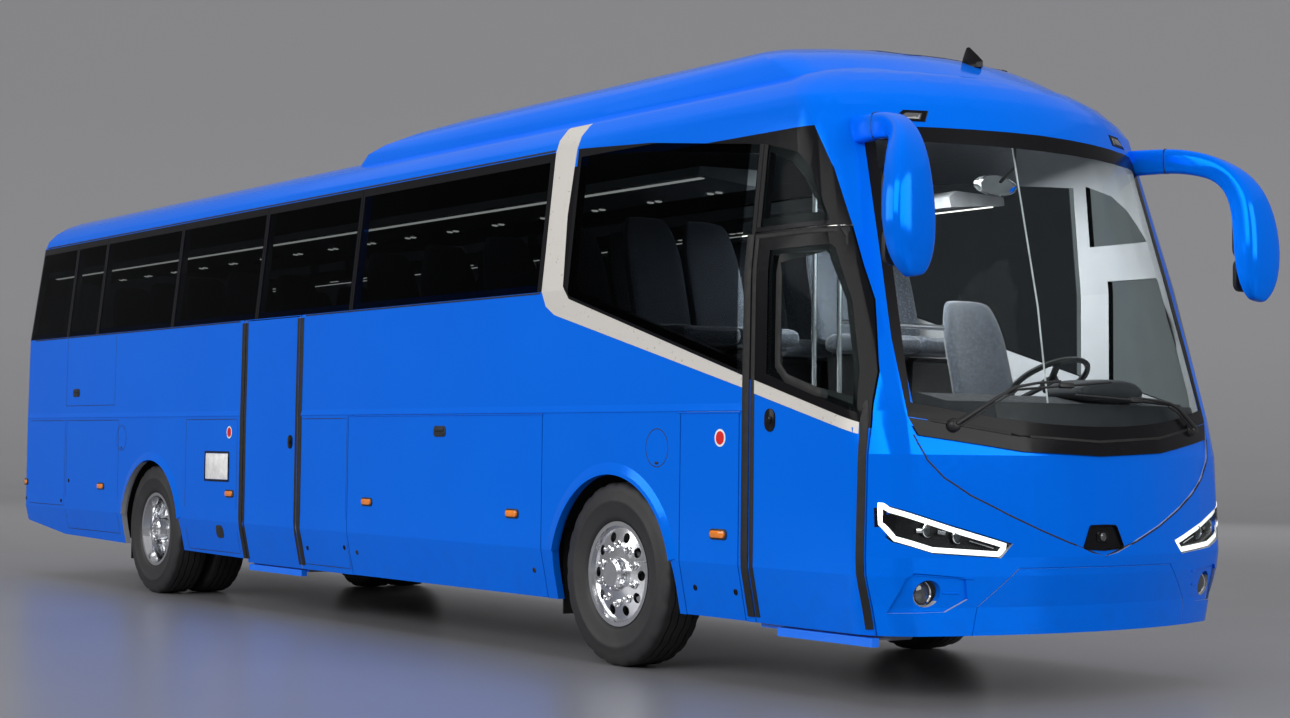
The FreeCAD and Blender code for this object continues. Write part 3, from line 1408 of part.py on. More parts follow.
def rear_wheel(name, side):
    """Twin rear wheels on one hub: two dished wheels, disc to disc."""
    bore = D.spindle_radius + 15 + D.running_gap
    middle = D.twin_spacing / 2

    def mated(points):
        return [(radius, -2 * middle - along) for radius, along in reversed(points)]

    neck = [(SEAT - 12, -RIM_HALF), (SEAT - 40, 17 - middle)]
    outside = barrel_outside() + neck
    inside = [(222, 17 - middle), (SEAT - 28, -58), (SEAT - 42, -22), (SEAT - 42, 38),
              (SEAT - 12, RIM_HALF)]
    drum_end = -2 * middle - 30
    hub = [(D.hub_radius, -9 - middle), (D.hub_radius, drum_end), (bore + 30, drum_end - 10),
           (bore + 30, drum_end - 60), (bore, drum_end - 60), (bore, 62), (0, 62), (0, 120),
           (62, 120), (80, 110), (95, 30), (118, 10), (126, 45 - middle),
           (D.hub_radius, 17 - middle)]
    section = outside + mated(outside) + mated(inside) + hub + inside
    centre = (REAR_AXLE, WHEEL_PLANE * side, AXLE_Z)
    return keep("wheel_rear_" + name, revolved_body("wheel_rear_" + name, section, centre, side))


TYRE_FACETS = 40


def tyre_shape(axle, plane):
    """A tyre as a hollow casing, a ring of flat facets with an edge at the very bottom."""
    outside = float(D.tyre_radius)
    half = float(D.tyre_width) / 2
    flat = math.cos(math.pi / TYRE_FACETS)
    seat = (float(SEAT) + PIN_CLEAR) / flat
    one_side = ((seat, 74.0), (float(D.rim_radius) + 9, float(RIM_HALF) + 3), (412.0, half),
                (490.0, half - 9), (outside, half - 33))
    inside = (450.0, half - 27)
    section = list(one_side) + [(radius, -along) for radius, along in reversed(one_side)]
    section += [(inside[0], -inside[1]), inside]
    rings = []
    for number in range(TYRE_FACETS):
        angle = 2 * math.pi * number / TYRE_FACETS
        rings.append([VEC(float(axle) + radius * math.cos(angle), float(plane) + along,
                          float(AXLE_Z) + radius * math.sin(angle)) for radius, along in section])
    faces = []
    for first, second in zip(rings, rings[1:] + rings[:1]):
        for index in range(len(section)):
            after = (index + 1) % len(section)
            corners = [first[index], first[after], second[after], second[index]]
            faces.append(Part.Face(Part.makePolygon(corners + corners[:1])))
    shell = Part.makeShell(faces)
    shell.sewShape()
    solid = Part.makeSolid(shell)
    return solid if solid.Volume > 0 else solid.reversed()


for side_name, side in SIDES:
    front_wheel(side_name, side)
    rear_wheel(side_name, side)
    feature("tyre_front_" + side_name, tyre_shape(FRONT_AXLE, WHEEL_PLANE * side))
    twins = [tyre_shape(REAR_AXLE, plane * side) for plane in
             (WHEEL_PLANE, WHEEL_PLANE - D.twin_spacing)]
    feature("tyres_rear_" + side_name, Part.makeCompound(twins))


# Inside: seats, racks, dashboard, steering wheel; outside: mirrors, wipers, mud flaps.

def seat_block(x, low_y, high_y, z):
    """One seat or bench: base with cushion, and a reclined back with head rest."""
    base = ((x - 400, z), (x - 60, z), (x - 60, z + 330), (x + 50, z + 340), (x + 60, z + 450),
            (x - 381, z + 470), (x - 479, z + 330), (x - 400, z + 330))
    back = ((x - 560, z + 350), (x - 479.4, z + 330), (x - 381.4, z + 470.3), (x - 560, z + 1130),
            (x - 660, z + 1140), (x - 690, z + 1080))
    return [prism(points, low_y, high_y, "y") for points in (base, back)]


AISLE = float(D.aisle_half)
SEAT_WALL = float(HALF) - WALL - 115
SEATS_FRONT = 4050.0
benches = []
for side_name, side in SIDES:
    for row in range(int(D.seat_rows)):
        front_x = SEATS_FRONT - row * float(D.seat_pitch)
        over_well = side < 0 and front_x > float(D.mid_door_rear) and (
            front_x - 700 < float(D.mid_door_front))
        if over_well:
            continue
        low, high = sorted_pair(side * (AISLE + 60), side * SEAT_WALL)
        benches += seat_block(front_x, low, high, DECK_TOP + 0.3)

feature("passenger_seats", Part.makeCompound(benches))
feature("driver_seat", Part.makeCompound(seat_block(5100.0, 430.0, 930.0, CAB_FLOOR + 0.3)))

rack_points = ((-1170.0, 2740.0), (-720.0, 2700.0), (-700.0, 2760.0), (-760.0, 2800.0),
               (-1150.0, 2790.0))
rack = prism(rack_points, float(TAIL) + 350, CAB_REAR, "x").common(hull(WALL + 0.3))
feature("overhead_racks", both(rack))

dash_points = ((4990.0 + 330, 1330.0), (4990.0 + 300, 1500.0), (5420.0, 1545.0), (5640.0, 1500.0),
               (FAR, 1420.0), (FAR, 1180.0), (5600.0, 1180.0), (5480.0, CAB_FLOOR + 0.3),
               (5400.0, CAB_FLOOR + 0.3))
dash = prism(dash_points, -560.0, 1150.0, "y").common(hull(WALL + 25))

WHEEL_CENTRE = VEC(5130.0, 700.0, 1640.0)
COLUMN_AXIS = VEC(-0.52, 0, 0.854)


RIM_THICK = 17


def steering_wheel():
    """The steering wheel: rim, spokes and hub, square to the leaning column."""
    radius = float(D.steering_wheel_radius)
    section = [(radius + RIM_THICK * math.cos(turn * math.pi / 3),
                RIM_THICK * math.sin(turn * math.pi / 3)) for turn in range(6)]
    rim = turned(section, (0, 0, 0), UP)
    hub = Part.makeCylinder(55, 50, VEC(0, 0, -45))
    spokes = [Part.makeBox(float(D.steering_wheel_radius), 36, 16, VEC(0, -18, -22))
              for _ in range(3)]
    for number, spoke in enumerate(spokes):
        spoke.rotate(VEC(), UP, 90 + 120 * number)
    shaft = Part.makeCylinder(18, 200, VEC(0, 0, -240))
    wheel = rim.fuse([hub, shaft] + spokes)
    wheel.Placement = FreeCAD.Placement(WHEEL_CENTRE, FreeCAD.Rotation(UP, COLUMN_AXIS))
    return wheel


feature("steering_wheel", steering_wheel())
column = Part.makeCylinder(45, 380, VEC(0, 0, -560))
column_bore = Part.makeCylinder(18 + PIN_CLEAR, 250, VEC(0, 0, -250))
for piece in (column, column_bore):
    piece.Placement = FreeCAD.Placement(WHEEL_CENTRE, FreeCAD.Rotation(UP, COLUMN_AXIS))
feature("dashboard", dash.cut(front_steps).fuse(column).cut(column_bore))


MIRROR_X = float(FRONT_AXLE)
reach = float(D.mirror_reach)


def mirror_sections():
    """The mirror's horn, from its root on the brow to its tip: centre, way it runs, half sizes.

    The first half size is upright at the root and turns forward as the horn turns down; the
    second is across it.
    """
    head_y = -reach + 142
    return (
        ((1690.0, -985.0, 2868.0), (1.0, -0.07, -0.03), 74.0, 36.0),
        ((1900.0, -1030.0, 2872.0), (1.0, -0.12, -0.02), 72.0, 40.0),
        ((2110.0, -1072.0, 2862.0), (1.0, -0.28, -0.08), 68.0, 46.0),
        ((2290.0, -1140.0, 2820.0), (0.9, -0.5, -0.45), 66.0, 58.0),
        ((2405.0, -1206.0, 2738.0), (0.55, -0.45, -1.0), 68.0, 80.0),
        ((2462.0, head_y + 18, 2610.0), (0.2, -0.2, -1.0), 76.0, 112.0),
        ((2486.0, head_y, 2450.0), (0.08, 0.0, -1.0), 80.0, 134.0),
        ((2497.0, head_y, 2290.0), (0.06, 0.0, -1.0), 76.0, 141.0),
        ((2506.0, head_y + 6, 2150.0), (0.06, 0.05, -1.0), 58.0, 112.0),
        ((2511.0, head_y + 22, 2078.0), (0.06, 0.15, -1.0), 30.0, 58.0),
    )


def mirror_horn():
    """One mirror: arm and head in a single horn-shaped shell, on the right side."""
    rings = []
    for centre, way, along, across in mirror_sections():
        way = VEC(*way).normalize()
        side = UP.cross(way) if abs(way.z) < 0.6 else LEFT
        side = (side - way * side.dot(way)).normalize()
        other = way.cross(side)
        middle = VEC(MIRROR_X + centre[0], centre[1], centre[2])
        points = []
        for number in range(MIRROR_POINTS):
            angle = 2 * math.pi * number / MIRROR_POINTS
            cos, sin = math.cos(angle), math.sin(angle)
            squared = (abs(cos) ** 2.6 + abs(sin) ** 2.6) ** (-1 / 2.6)
            points.append(middle + side * (across * squared * cos) + other * (along * squared * sin))
        rings.append(points)
    return faceted(rings)


MIRROR_POINTS = 14
mirror = mirror_horn().cut(hull(0))
mirror = max(mirror.Solids, key=lambda solid: solid.Volume)
feature("mirrors", both(mirror))

flap_parts = []
for axle, behind in ((FRONT_AXLE, 640.0), (REAR_AXLE, 640.0)):
    x = float(axle) - behind
    hung = block((x, x + 8), (955.0, 1165.0), (250.0, 900.0))
    under = Part.makeCylinder(float(D.house_radius) - 0.3, 400,
                              VEC(float(axle), 850, float(D.arch_centre)), LEFT)
    below = block((x, x + 8), (955.0, 1165.0), (250.0, float(D.arch_centre)))
    flap_parts.append(hung.common(under.fuse(below)).removeSplitter())
mud = Part.makeCompound(flap_parts)
feature("mud_flaps", Part.makeCompound([mud, mirrored(mud)]))


def wiper(side):
    """A wiper: arm from its pivot and blade resting on the glass."""
    pivot = VEC(float(FRONT_AXLE) + 2411 + 2, side * 861.0, 1368.0)
    tip = VEC(float(FRONT_AXLE) + 2490, side * 80.0, 1345.0)
    arm_bar = tube(9, pivot, tip)
    boss = tube(22, pivot - VEC(70, 0, 0), pivot + VEC(12, 0, 0))
    return arm_bar.fuse(boss).cut(hull(0))


feature("wipers", Part.makeCompound([wiper(-1), wiper(1)]))


# Checks and files.

doc.recompute()
for item in doc.Objects:
    for word in ("Invalid", "Error"):
        if word in item.State:
            raise RuntimeError("%s is %s" % (item.Label, word))
os.makedirs("parts", exist_ok=True)
for label, item in NODES.items():
    shape = item.Shape
    if shape.isNull() or not shape.isValid() or not shape.Solids:
        raise RuntimeError("%s has no valid solid" % label)
    shape.exportStep("parts/%s.step" % label)
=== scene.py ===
"""Coach bus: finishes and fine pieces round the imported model. Metres, +X forwards, +Y left, +Z up."""
import json
import math

import bmesh
import bpy
import numpy as np
from mathutils import Matrix, Vector
from mathutils.bvhtree import BVHTree


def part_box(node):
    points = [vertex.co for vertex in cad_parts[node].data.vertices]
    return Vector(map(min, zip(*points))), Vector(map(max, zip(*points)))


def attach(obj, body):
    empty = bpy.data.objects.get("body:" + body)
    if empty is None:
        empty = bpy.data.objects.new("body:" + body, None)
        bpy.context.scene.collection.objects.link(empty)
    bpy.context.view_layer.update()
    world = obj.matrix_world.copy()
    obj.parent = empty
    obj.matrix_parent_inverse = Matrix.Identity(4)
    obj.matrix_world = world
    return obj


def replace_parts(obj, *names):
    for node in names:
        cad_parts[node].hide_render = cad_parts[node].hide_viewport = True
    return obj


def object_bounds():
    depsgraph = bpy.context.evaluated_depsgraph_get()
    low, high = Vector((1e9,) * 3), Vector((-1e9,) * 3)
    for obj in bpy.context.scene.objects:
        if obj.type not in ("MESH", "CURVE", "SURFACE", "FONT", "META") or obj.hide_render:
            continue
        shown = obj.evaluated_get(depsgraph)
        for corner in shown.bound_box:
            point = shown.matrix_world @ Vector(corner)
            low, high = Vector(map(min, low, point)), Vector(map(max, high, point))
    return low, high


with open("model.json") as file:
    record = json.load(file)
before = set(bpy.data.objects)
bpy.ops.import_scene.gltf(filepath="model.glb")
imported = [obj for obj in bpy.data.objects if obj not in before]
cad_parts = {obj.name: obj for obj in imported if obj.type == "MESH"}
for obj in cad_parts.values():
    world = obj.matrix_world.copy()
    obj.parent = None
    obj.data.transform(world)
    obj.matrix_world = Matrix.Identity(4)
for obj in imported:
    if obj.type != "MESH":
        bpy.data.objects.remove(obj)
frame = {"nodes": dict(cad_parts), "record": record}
NODES = frame["nodes"]
CAD_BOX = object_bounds()
SCENE = bpy.context.scene
SCENE.view_settings.view_transform = "Standard"

# Camera, fitted to the photograph: its frame is 1290 by 718 pixels.

IMAGE_WIDTH = 1290
IMAGE_HEIGHT = 718
FOCAL_PIXELS = 2173.6
PRINCIPAL_ROW = 352.9
SENSOR_WIDTH = 36.0
CAMERA_PLACE = Vector((13.855, -8.224, 1.251))
CAMERA_YAW = math.radians(144.897)
CAMERA_PITCH = math.radians(2.445)
CAMERA_ROLL = math.radians(0.67)


def make_camera():
    """The photograph's viewpoint."""
    yaw, pitch, roll = CAMERA_YAW, CAMERA_PITCH, CAMERA_ROLL
    ahead = Vector((math.cos(pitch) * math.cos(yaw), math.cos(pitch) * math.sin(yaw), math.sin(pitch)))
    level = Vector((math.sin(yaw), -math.cos(yaw), 0))
    upright = level.cross(ahead)
    right = math.cos(roll) * level + math.sin(roll) * upright
    up = math.cos(roll) * upright - math.sin(roll) * level
    data = bpy.data.cameras.new("camera")
    data.sensor_width = SENSOR_WIDTH
    data.lens = FOCAL_PIXELS / IMAGE_WIDTH * SENSOR_WIDTH
    data.shift_y = (PRINCIPAL_ROW - IMAGE_HEIGHT / 2) / IMAGE_WIDTH
    data.clip_end = 200
    camera = bpy.data.objects.new("camera", data)
    SCENE.collection.objects.link(camera)
    turn = Matrix((right, up, -ahead)).transposed()
    camera.matrix_world = Matrix.Translation(CAMERA_PLACE) @ turn.to_4x4()
    SCENE.camera = camera


# Shader building: a small layer over the node tree, so that a material reads as a recipe.

class Recipe:
    """One material being made."""

    def __init__(self, name):
        self.material = bpy.data.materials.new(name)
        self.material.use_nodes = True
        self.tree = self.material.node_tree
        self.tree.nodes.clear()
        self.output = self.tree.nodes.new("ShaderNodeOutputMaterial")
        self.coords = None

    def node(self, kind, **inputs):
        """A node with its sockets set to values or linked to other sockets."""
        made = self.tree.nodes.new("ShaderNode" + kind)
        for name, value in inputs.items():
            self.feed(made.inputs[name.replace("_", " ")], value)
        return made

    def feed(self, socket, value):
        """A value or a link into a socket."""
        if isinstance(value, bpy.types.NodeSocket):
            self.tree.links.new(value, socket)
        elif socket.type == "RGBA" and len(value) == 3:
            socket.default_value = (*value, 1.0)
        else:
            socket.default_value = value

    def place(self):
        """Object coordinates, which are the row frame for every piece at rest."""
        if self.coords is None:
            self.coords = self.tree.nodes.new("ShaderNodeTexCoord")
        return self.coords.outputs["Object"]

    def axis(self, letter):
        """One coordinate of the place."""
        return self.node("SeparateXYZ", Vector=self.place()).outputs[letter.upper()]

    def operate(self, kind, operation, *values):
        """A node of one operation on sockets and values."""
        made = self.node(kind)
        made.operation = operation
        for socket, value in zip(made.inputs, values):
            self.feed(socket, value)
        return made

    def math(self, operation, *values):
        """A sum or comparison of sockets and numbers."""
        return self.operate("Math", operation, *values).outputs[0]

    def inwards(self):
        """One on faces that look into the body, and nought on its outside."""
        away = self.operate("VectorMath", "SUBTRACT", self.place(), BODY_MIDDLE).outputs[0]
        dot = self.operate("VectorMath", "DOT_PRODUCT", away, self.coords.outputs["Normal"])
        return self.math("LESS_THAN", dot.outputs["Value"], 0.0)

    def within(self, letter, middle, half):
        """One where a coordinate is near a value."""
        away = self.math("ABSOLUTE", self.math("SUBTRACT", self.axis(letter), middle))
        return self.math("LESS_THAN", away, half)

    def over_slope(self, rear, slope, height, top):
        """One ahead of a rear limit, over a line that falls forwards and under a level top."""
        ahead = self.math("GREATER_THAN", self.axis("x"), rear)
        rise = self.math("MULTIPLY_ADD", self.math("SUBTRACT", self.axis("x"), rear), slope, self.axis("z"))
        over = self.math("GREATER_THAN", rise, height)
        under = self.math("LESS_THAN", self.axis("z"), top)
        return self.math("MULTIPLY", self.math("MULTIPLY", ahead, over), under)

    def noise(self, scale, detail=3.0):
        """Fractal noise over the place."""
        made = self.node("TexNoise", Vector=self.place(), Scale=scale, Detail=detail, Roughness=0.55)
        return made.outputs["Fac"]

    def wave(self, scale, letter):
        """Even bands along one axis."""
        made = self.node("TexWave", Vector=self.place(), Scale=scale)
        made.bands_direction = letter
        return made.outputs["Fac"]

    def ramp(self, value, low, high, first=0.0, second=1.0):
        """A value mapped from low..high to first..second, held at both ends."""
        made = self.node("MapRange", Value=value)
        made.inputs["From Min"].default_value = low
        made.inputs["From Max"].default_value = high
        made.inputs["To Min"].default_value = first
        made.inputs["To Max"].default_value = second
        return made.outputs[0]

    def mix(self, share, first, second):
        """A colour between two colours."""
        made = self.tree.nodes.new("ShaderNodeMix")
        made.data_type = "RGBA"
        self.feed(made.inputs["Factor"], share)
        self.feed(made.inputs[6], first)
        self.feed(made.inputs[7], second)
        return made.outputs[2]

    def mottle(self, scale, detail, first, second):
        """A colour that wanders between two colours."""
        return self.mix(self.ramp(self.noise(scale, detail), 0.3, 0.7), first, second)

    def blend(self, share, first, second):
        """A shader between two shaders."""
        made = self.node("MixShader", Fac=share)
        self.tree.links.new(first, made.inputs[1])
        self.tree.links.new(second, made.inputs[2])
        return made.outputs[0]

    def bump(self, height, distance, strength=1.0):
        """A bumped normal."""
        return self.node("Bump", Height=height, Distance=distance, Strength=strength).outputs[0]

    def shader(self, **inputs):
        """A principled shader with these sockets."""
        return self.node("BsdfPrincipled", **inputs).outputs[0]

    def surface(self, **inputs):
        """The finished material, of one principled shader with these sockets."""
        return self.finish(self.shader(**inputs))

    def finish(self, shader):
        """The finished material, with its shader joined to the output."""
        self.tree.links.new(shader, self.output.inputs["Surface"])
        return self.material


# Colours, and the limits of the painted zones in metres of the row frame.

TRIM_GREY = (0.36, 0.37, 0.39)
AZURE_DEEP = (0.0006, 0.150, 0.86)
AZURE_LIGHT = (0.0008, 0.165, 0.90)
FRIT_BLACK = (0.006, 0.006, 0.007)
TAIL_RED = (0.45, 0.008, 0.006)
BODY_MIDDLE = (0.0, 0.0, 1.9)
SKIRT_SIDE, SKIRT_TOP = -1.1695, 0.331
TAIL_AMBER_LOW, TAIL_AMBER_HIGH = 1.09, 1.28

# Black zones round the door and over the sloping band: rear limit, slope, height there, top.

DOOR_DARK = (4.905, 0.275, 1.605, 2.90)
BAND_DARK = (3.06, 0.2864, 2.139, 2.90)
SILL_BORDER = 0.075


def body_paint(name="azure_paint", lined=True, dark_door=False):
    """Azure paint with bluish gloss, darker blue in patches towards the bottom; grey lining on the faces
    that look inwards.
    """
    r = Recipe(name)
    base = r.mottle(0.6, 2.0, AZURE_DEEP, AZURE_LIGHT)
    # Darker blue in patches, more of it the lower the face.
    low = r.ramp(r.axis("z"), 0.75, 0.35)
    patchy_low_darkening = r.math("MULTIPLY", low, r.ramp(r.noise(9.0, 6.0), 0.45, 0.8, 0.0, 0.16))
    uneven = r.ramp(r.noise(38.0, 2.0), 0.35, 0.65, 0.10, 0.14)
    peel = r.bump(r.noise(160.0, 2.0), 0.00012, 0.3)
    skin = r.shader(Base_Color=r.mix(patchy_low_darkening, base, (0.02, 0.06, 0.17)), Roughness=uneven, Metallic=0.24,
                    Specular_IOR_Level=0.2, Specular_Tint=(0.03, 0.45, 1.0), Normal=peel)
    if dark_door:
        black = r.shader(Base_Color=FRIT_BLACK, Roughness=uneven, Specular_IOR_Level=0.07)
        zone = r.math("MAXIMUM", r.over_slope(*DOOR_DARK), r.over_slope(*BAND_DARK))
        skin = r.blend(zone, skin, black)
    if lined:
        grain = r.ramp(r.noise(300.0, 2.0), 0.3, 0.7, 0.55, 0.7)
        skin = r.blend(r.inwards(), skin, r.shader(Base_Color=TRIM_GREY, Roughness=grain))
    return r.finish(skin)


def silver_paint():
    """Satin silver paint with fine flake."""
    r = Recipe("silver_paint")
    flake = r.ramp(r.noise(700.0, 1.0), 0.35, 0.65)
    colour = r.mix(flake, (0.60, 0.57, 0.53), (0.66, 0.63, 0.58))
    rough = r.ramp(r.noise(30.0, 3.0), 0.3, 0.7, 0.27, 0.33)
    return r.surface(Base_Color=colour, Roughness=rough, Metallic=0.25, Coat_Weight=0.3,
                     Coat_Roughness=0.08)


def scaled(colour, share):
    """A darker or lighter colour."""
    return tuple(min(1.0, value * share) for value in colour)


def glass(name, tint, see_through, clear_ahead_of=None, clear_tint=None, borders=(), posts=False,
          sill=None):
    """Thin glass: gloss over a tint that lets light through, with a black fired border."""
    r = Recipe(name)
    smear = r.ramp(r.noise(5.0, 4.0), 0.35, 0.75, 0.012, 0.03)
    gloss = r.shader(Base_Color=(0.0, 0.0, 0.0), Roughness=smear, Specular_IOR_Level=0.5, IOR=1.5)
    body = r.mottle(3.0, 2.0, scaled(tint, 0.96), tint)
    if clear_ahead_of is not None:
        forward = r.math("GREATER_THAN", r.axis("x"), clear_ahead_of)
        body = r.mix(forward, body, clear_tint)
    clear = r.node("BsdfTransparent", Color=body)
    facing = r.node("LayerWeight", Blend=0.5).outputs["Facing"]
    cover = r.ramp(r.math("POWER", facing, 5.0), 0.0, 1.0, 1.0 - see_through, 1.0)
    fired = 0.0
    for border in borders:
        fired = r.math("MAXIMUM", fired, r.within(*border))
    if sill:
        height = r.math("MULTIPLY_ADD", r.math("POWER", r.math("ABSOLUTE", r.axis("y")), 2.0), -sill[1],
                        r.axis("z"))
        fired = r.math("MAXIMUM", fired, r.math("LESS_THAN", height, sill[0] + SILL_BORDER))
    if posts:
        out = r.math("MULTIPLY_ADD", r.math("SUBTRACT", r.axis("z"), POST_HEIGHT), POST_LEAN,
                     r.math("ABSOLUTE", r.axis("y")))
        fired = r.math("MAXIMUM", fired, r.math("GREATER_THAN", out, POST_EDGE))
    mixed = r.blend(cover, clear.outputs[0], gloss)
    if borders:
        frit = r.shader(Base_Color=FRIT_BLACK, Roughness=0.22, Specular_IOR_Level=0.1)
        mixed = r.blend(fired, mixed, frit)
    return r.finish(mixed)


def plastic(name, colour, rough=0.35, grain=400.0, depth=0.0002, vary=0.15, coat=0.0, sheen=0.3):
    """Moulded plastic or rubber with a fine grain and slightly uneven colour."""
    r = Recipe(name)
    colour_out = r.mottle(11.0, 4.0, scaled(colour, 1 - vary), scaled(colour, 1 + vary))
    rough_out = r.ramp(r.noise(24.0, 3.0), 0.3, 0.7, rough * 0.85, min(1.0, rough * 1.15))
    normal = r.bump(r.noise(grain, 2.0), depth, 0.6)
    return r.surface(Base_Color=colour_out, Roughness=rough_out, Normal=normal, Coat_Weight=coat,
                     Coat_Roughness=0.05, Specular_IOR_Level=sheen)


def metal(name, colour, rough=0.2, grain=220.0, depth=0.00006, vary=0.08):
    """Bare metal, with fine working marks."""
    r = Recipe(name)
    colour_out = r.mottle(14.0, 4.0, scaled(colour, 1 - vary), colour)
    rough_out = r.ramp(r.noise(grain / 6, 4.0), 0.3, 0.7, rough * 0.75, rough * 1.3)
    normal = r.bump(r.noise(grain, 2.0), depth, 0.4)
    return r.surface(Base_Color=colour_out, Roughness=rough_out, Metallic=1.0, Normal=normal)


def glow(name, colour, strength):
    """A lit diffuser."""
    r = Recipe(name)
    soft = r.mottle(60.0, 2.0, scaled(colour, 0.94), colour)
    return r.surface(Base_Color=(0.8, 0.8, 0.8), Roughness=0.3, Emission_Color=soft,
                     Emission_Strength=strength)


def cloth(name, first, second, scale=900.0):
    """Woven seat cloth: crossed threads, flecks and sheen."""
    r = Recipe(name)
    weave = r.math("MAXIMUM", r.wave(scale / 6, "Y"), r.wave(scale / 6, "Z"))
    colour = r.mix(r.ramp(r.noise(85.0, 3.0), 0.52, 0.62), first, second)
    normal = r.bump(weave, 0.0006, 0.7)
    return r.surface(Base_Color=colour, Roughness=0.86, Normal=normal, Sheen_Weight=0.35,
                     Sheen_Roughness=0.4)


def tyre_rubber():
    """Black tyre rubber, dusty in places."""
    r = Recipe("tyre_rubber")
    dust = r.ramp(r.noise(6.0, 6.0), 0.5, 0.85, 0.0, 0.3)
    colour = r.mix(dust, (0.014, 0.014, 0.015), (0.06, 0.058, 0.056))
    normal = r.bump(r.noise(260.0, 3.0), 0.0003, 0.6)
    return r.surface(Base_Color=colour, Roughness=0.58, Normal=normal)


def floor_covering():
    """Grey vinyl floor with chips; the panels under the doors are painted like the body."""
    r = Recipe("vinyl_floor")
    chips = r.node("TexVoronoi", Vector=r.place(), Scale=220.0)
    light = r.ramp(chips.outputs["Distance"], 0.1, 0.45)
    vinyl = r.mix(light, (0.30, 0.31, 0.33), (0.16, 0.165, 0.18))
    outer = r.math("MULTIPLY", r.math("LESS_THAN", r.axis("y"), SKIRT_SIDE),
                   r.math("LESS_THAN", r.axis("z"), SKIRT_TOP))
    colour = r.mix(outer, vinyl, AZURE_LIGHT)
    rough = r.ramp(outer, 0.0, 1.0, 0.55, 0.25)
    return r.surface(Base_Color=colour, Roughness=rough)


def tail_lamp_lens():
    """Tail lamp lenses: an amber field between two red ones, with fine ribs inside."""
    r = Recipe("tail_lens")
    height = r.axis("z")
    colour = r.mix(r.math("GREATER_THAN", height, TAIL_AMBER_LOW), TAIL_RED, (0.75, 0.20, 0.01))
    colour = r.mix(r.math("GREATER_THAN", height, TAIL_AMBER_HIGH), colour, TAIL_RED)
    normal = r.bump(r.wave(28.0, "Y"), 0.0008, 0.5)
    return r.surface(Base_Color=colour, Roughness=0.12, Normal=normal, Coat_Weight=1.0,
                     Coat_Roughness=0.03)


# Where the side glass changes, as distances in the row frame.

GLASS_SPLITS = (-5.038, -4.327, -2.690, -1.102, 0.415)
GLASS_LOW, GLASS_TOP = 2.163, 3.008
SEAL_FRONT = 2.86
DRIVER_GLASS_REAR = 4.80
SIDE_BORDERS = [("x", at, 0.028) for at in GLASS_SPLITS]
SIDE_BORDERS += [("z", GLASS_TOP, 0.055), ("x", 2.875, 0.05), ("x", 3.126, 0.035), ("x", 4.923, 0.035)]

WINDSCREEN_TOP = 2.903
POST_HEIGHT, POST_LEAN, POST_EDGE = 1.8, 0.075, 1.028


def windscreen_glass():
    """Clear glass with black fired borders at its sides, along its top and over its sill."""
    points = [vert.co for vert in NODES["windscreen"].data.vertices]
    middle = min(point.z for point in points if abs(point.y) < 0.2)
    side = min(point.z for point in points if 0.85 < abs(point.y) < 1.0)
    return glass("windscreen_glass", (0.90, 0.93, 0.93), 0.985, posts=True,
                 borders=[("z", WINDSCREEN_TOP, 0.085)], sill=(middle, (side - middle) / 0.85))


MATERIALS = {
    "body_paint": body_paint(),
    "silver_paint": silver_paint(),
    "tinted_glass": glass("tinted_glass", (0.30, 0.32, 0.33), 0.975, DRIVER_GLASS_REAR,
                          (0.80, 0.85, 0.85), SIDE_BORDERS),
    "clear_glass": glass("clear_glass", (0.95, 0.97, 0.97), 0.985),
    "black_trim": plastic("gloss_black", FRIT_BLACK, 0.16, sheen=0.12),
    "rubber": plastic("rubber", (0.012, 0.012, 0.012), 0.55, 300.0, 0.0004),
    "tyre": tyre_rubber(),
    "alloy": metal("polished_alloy", (0.80, 0.81, 0.83), 0.14),
    "frame_steel": plastic("chassis_paint", (0.016, 0.016, 0.018), 0.5, 120.0, 0.0006, 0.4),
    "cast_parts": plastic("cast_iron", (0.045, 0.043, 0.04), 0.6, 90.0, 0.0012, 0.4),
    "floor": floor_covering(),
    "interior": plastic("grey_trim", TRIM_GREY, 0.5),
    "seat_cloth": cloth("seat_cloth", (0.035, 0.04, 0.05), (0.08, 0.095, 0.13)),
    "lamp_parts": plastic("lamp_black", (0.012, 0.012, 0.013), 0.22),
    "red_lamp": tail_lamp_lens(),
}
BLACK = MATERIALS["black_trim"]
RUBBER = MATERIALS["rubber"]
ALLOY = MATERIALS["alloy"]
CHROME = metal("chrome", (0.86, 0.87, 0.88), 0.06)
DARK_PLASTIC = plastic("dark_plastic", (0.02, 0.02, 0.021), 0.42, 500.0)
AMBER = plastic("amber_lens", (0.85, 0.22, 0.01), 0.12, coat=1.0)
WHITE = plastic("white_plastic", (0.78, 0.78, 0.77), 0.3)
RED = plastic("red_plastic", (0.62, 0.01, 0.01), 0.3)
MIRROR_GLASS = metal("mirror_glass", (0.82, 0.84, 0.86), 0.03)
DAY_LIGHT = glow("day_light", (1.0, 0.98, 0.95), 1.3)
CABIN_LIGHT = glow("cabin_light", (1.0, 0.96, 0.88), 2.2)
LENS_GLASS = plastic("lens_glass", (0.05, 0.055, 0.06), 0.05, coat=1.0)
PAINT = body_paint("azure_trim_paint", lined=False)
DASH = plastic("dash_plastic", (0.035, 0.036, 0.039), 0.45, 500.0)
WHITE_LENS = plastic("white_lens", (0.10, 0.10, 0.10), 0.1, coat=1.0)
DOOR_GLASS = glass("door_glass", (0.80, 0.85, 0.85), 0.985)
SIDE_PAINT = body_paint("azure_side_paint", dark_door=True)
OWN_FINISHES = {"steering_wheel": DARK_PLASTIC, "dashboard": DASH, "windscreen": windscreen_glass(),
                "side_wall_right": SIDE_PAINT, "side_wall_left": SIDE_PAINT, "front_door": SIDE_PAINT,
                "front_door_glass": DOOR_GLASS}
SLOT_OF = {material: slot for slot, material in MATERIALS.items()}
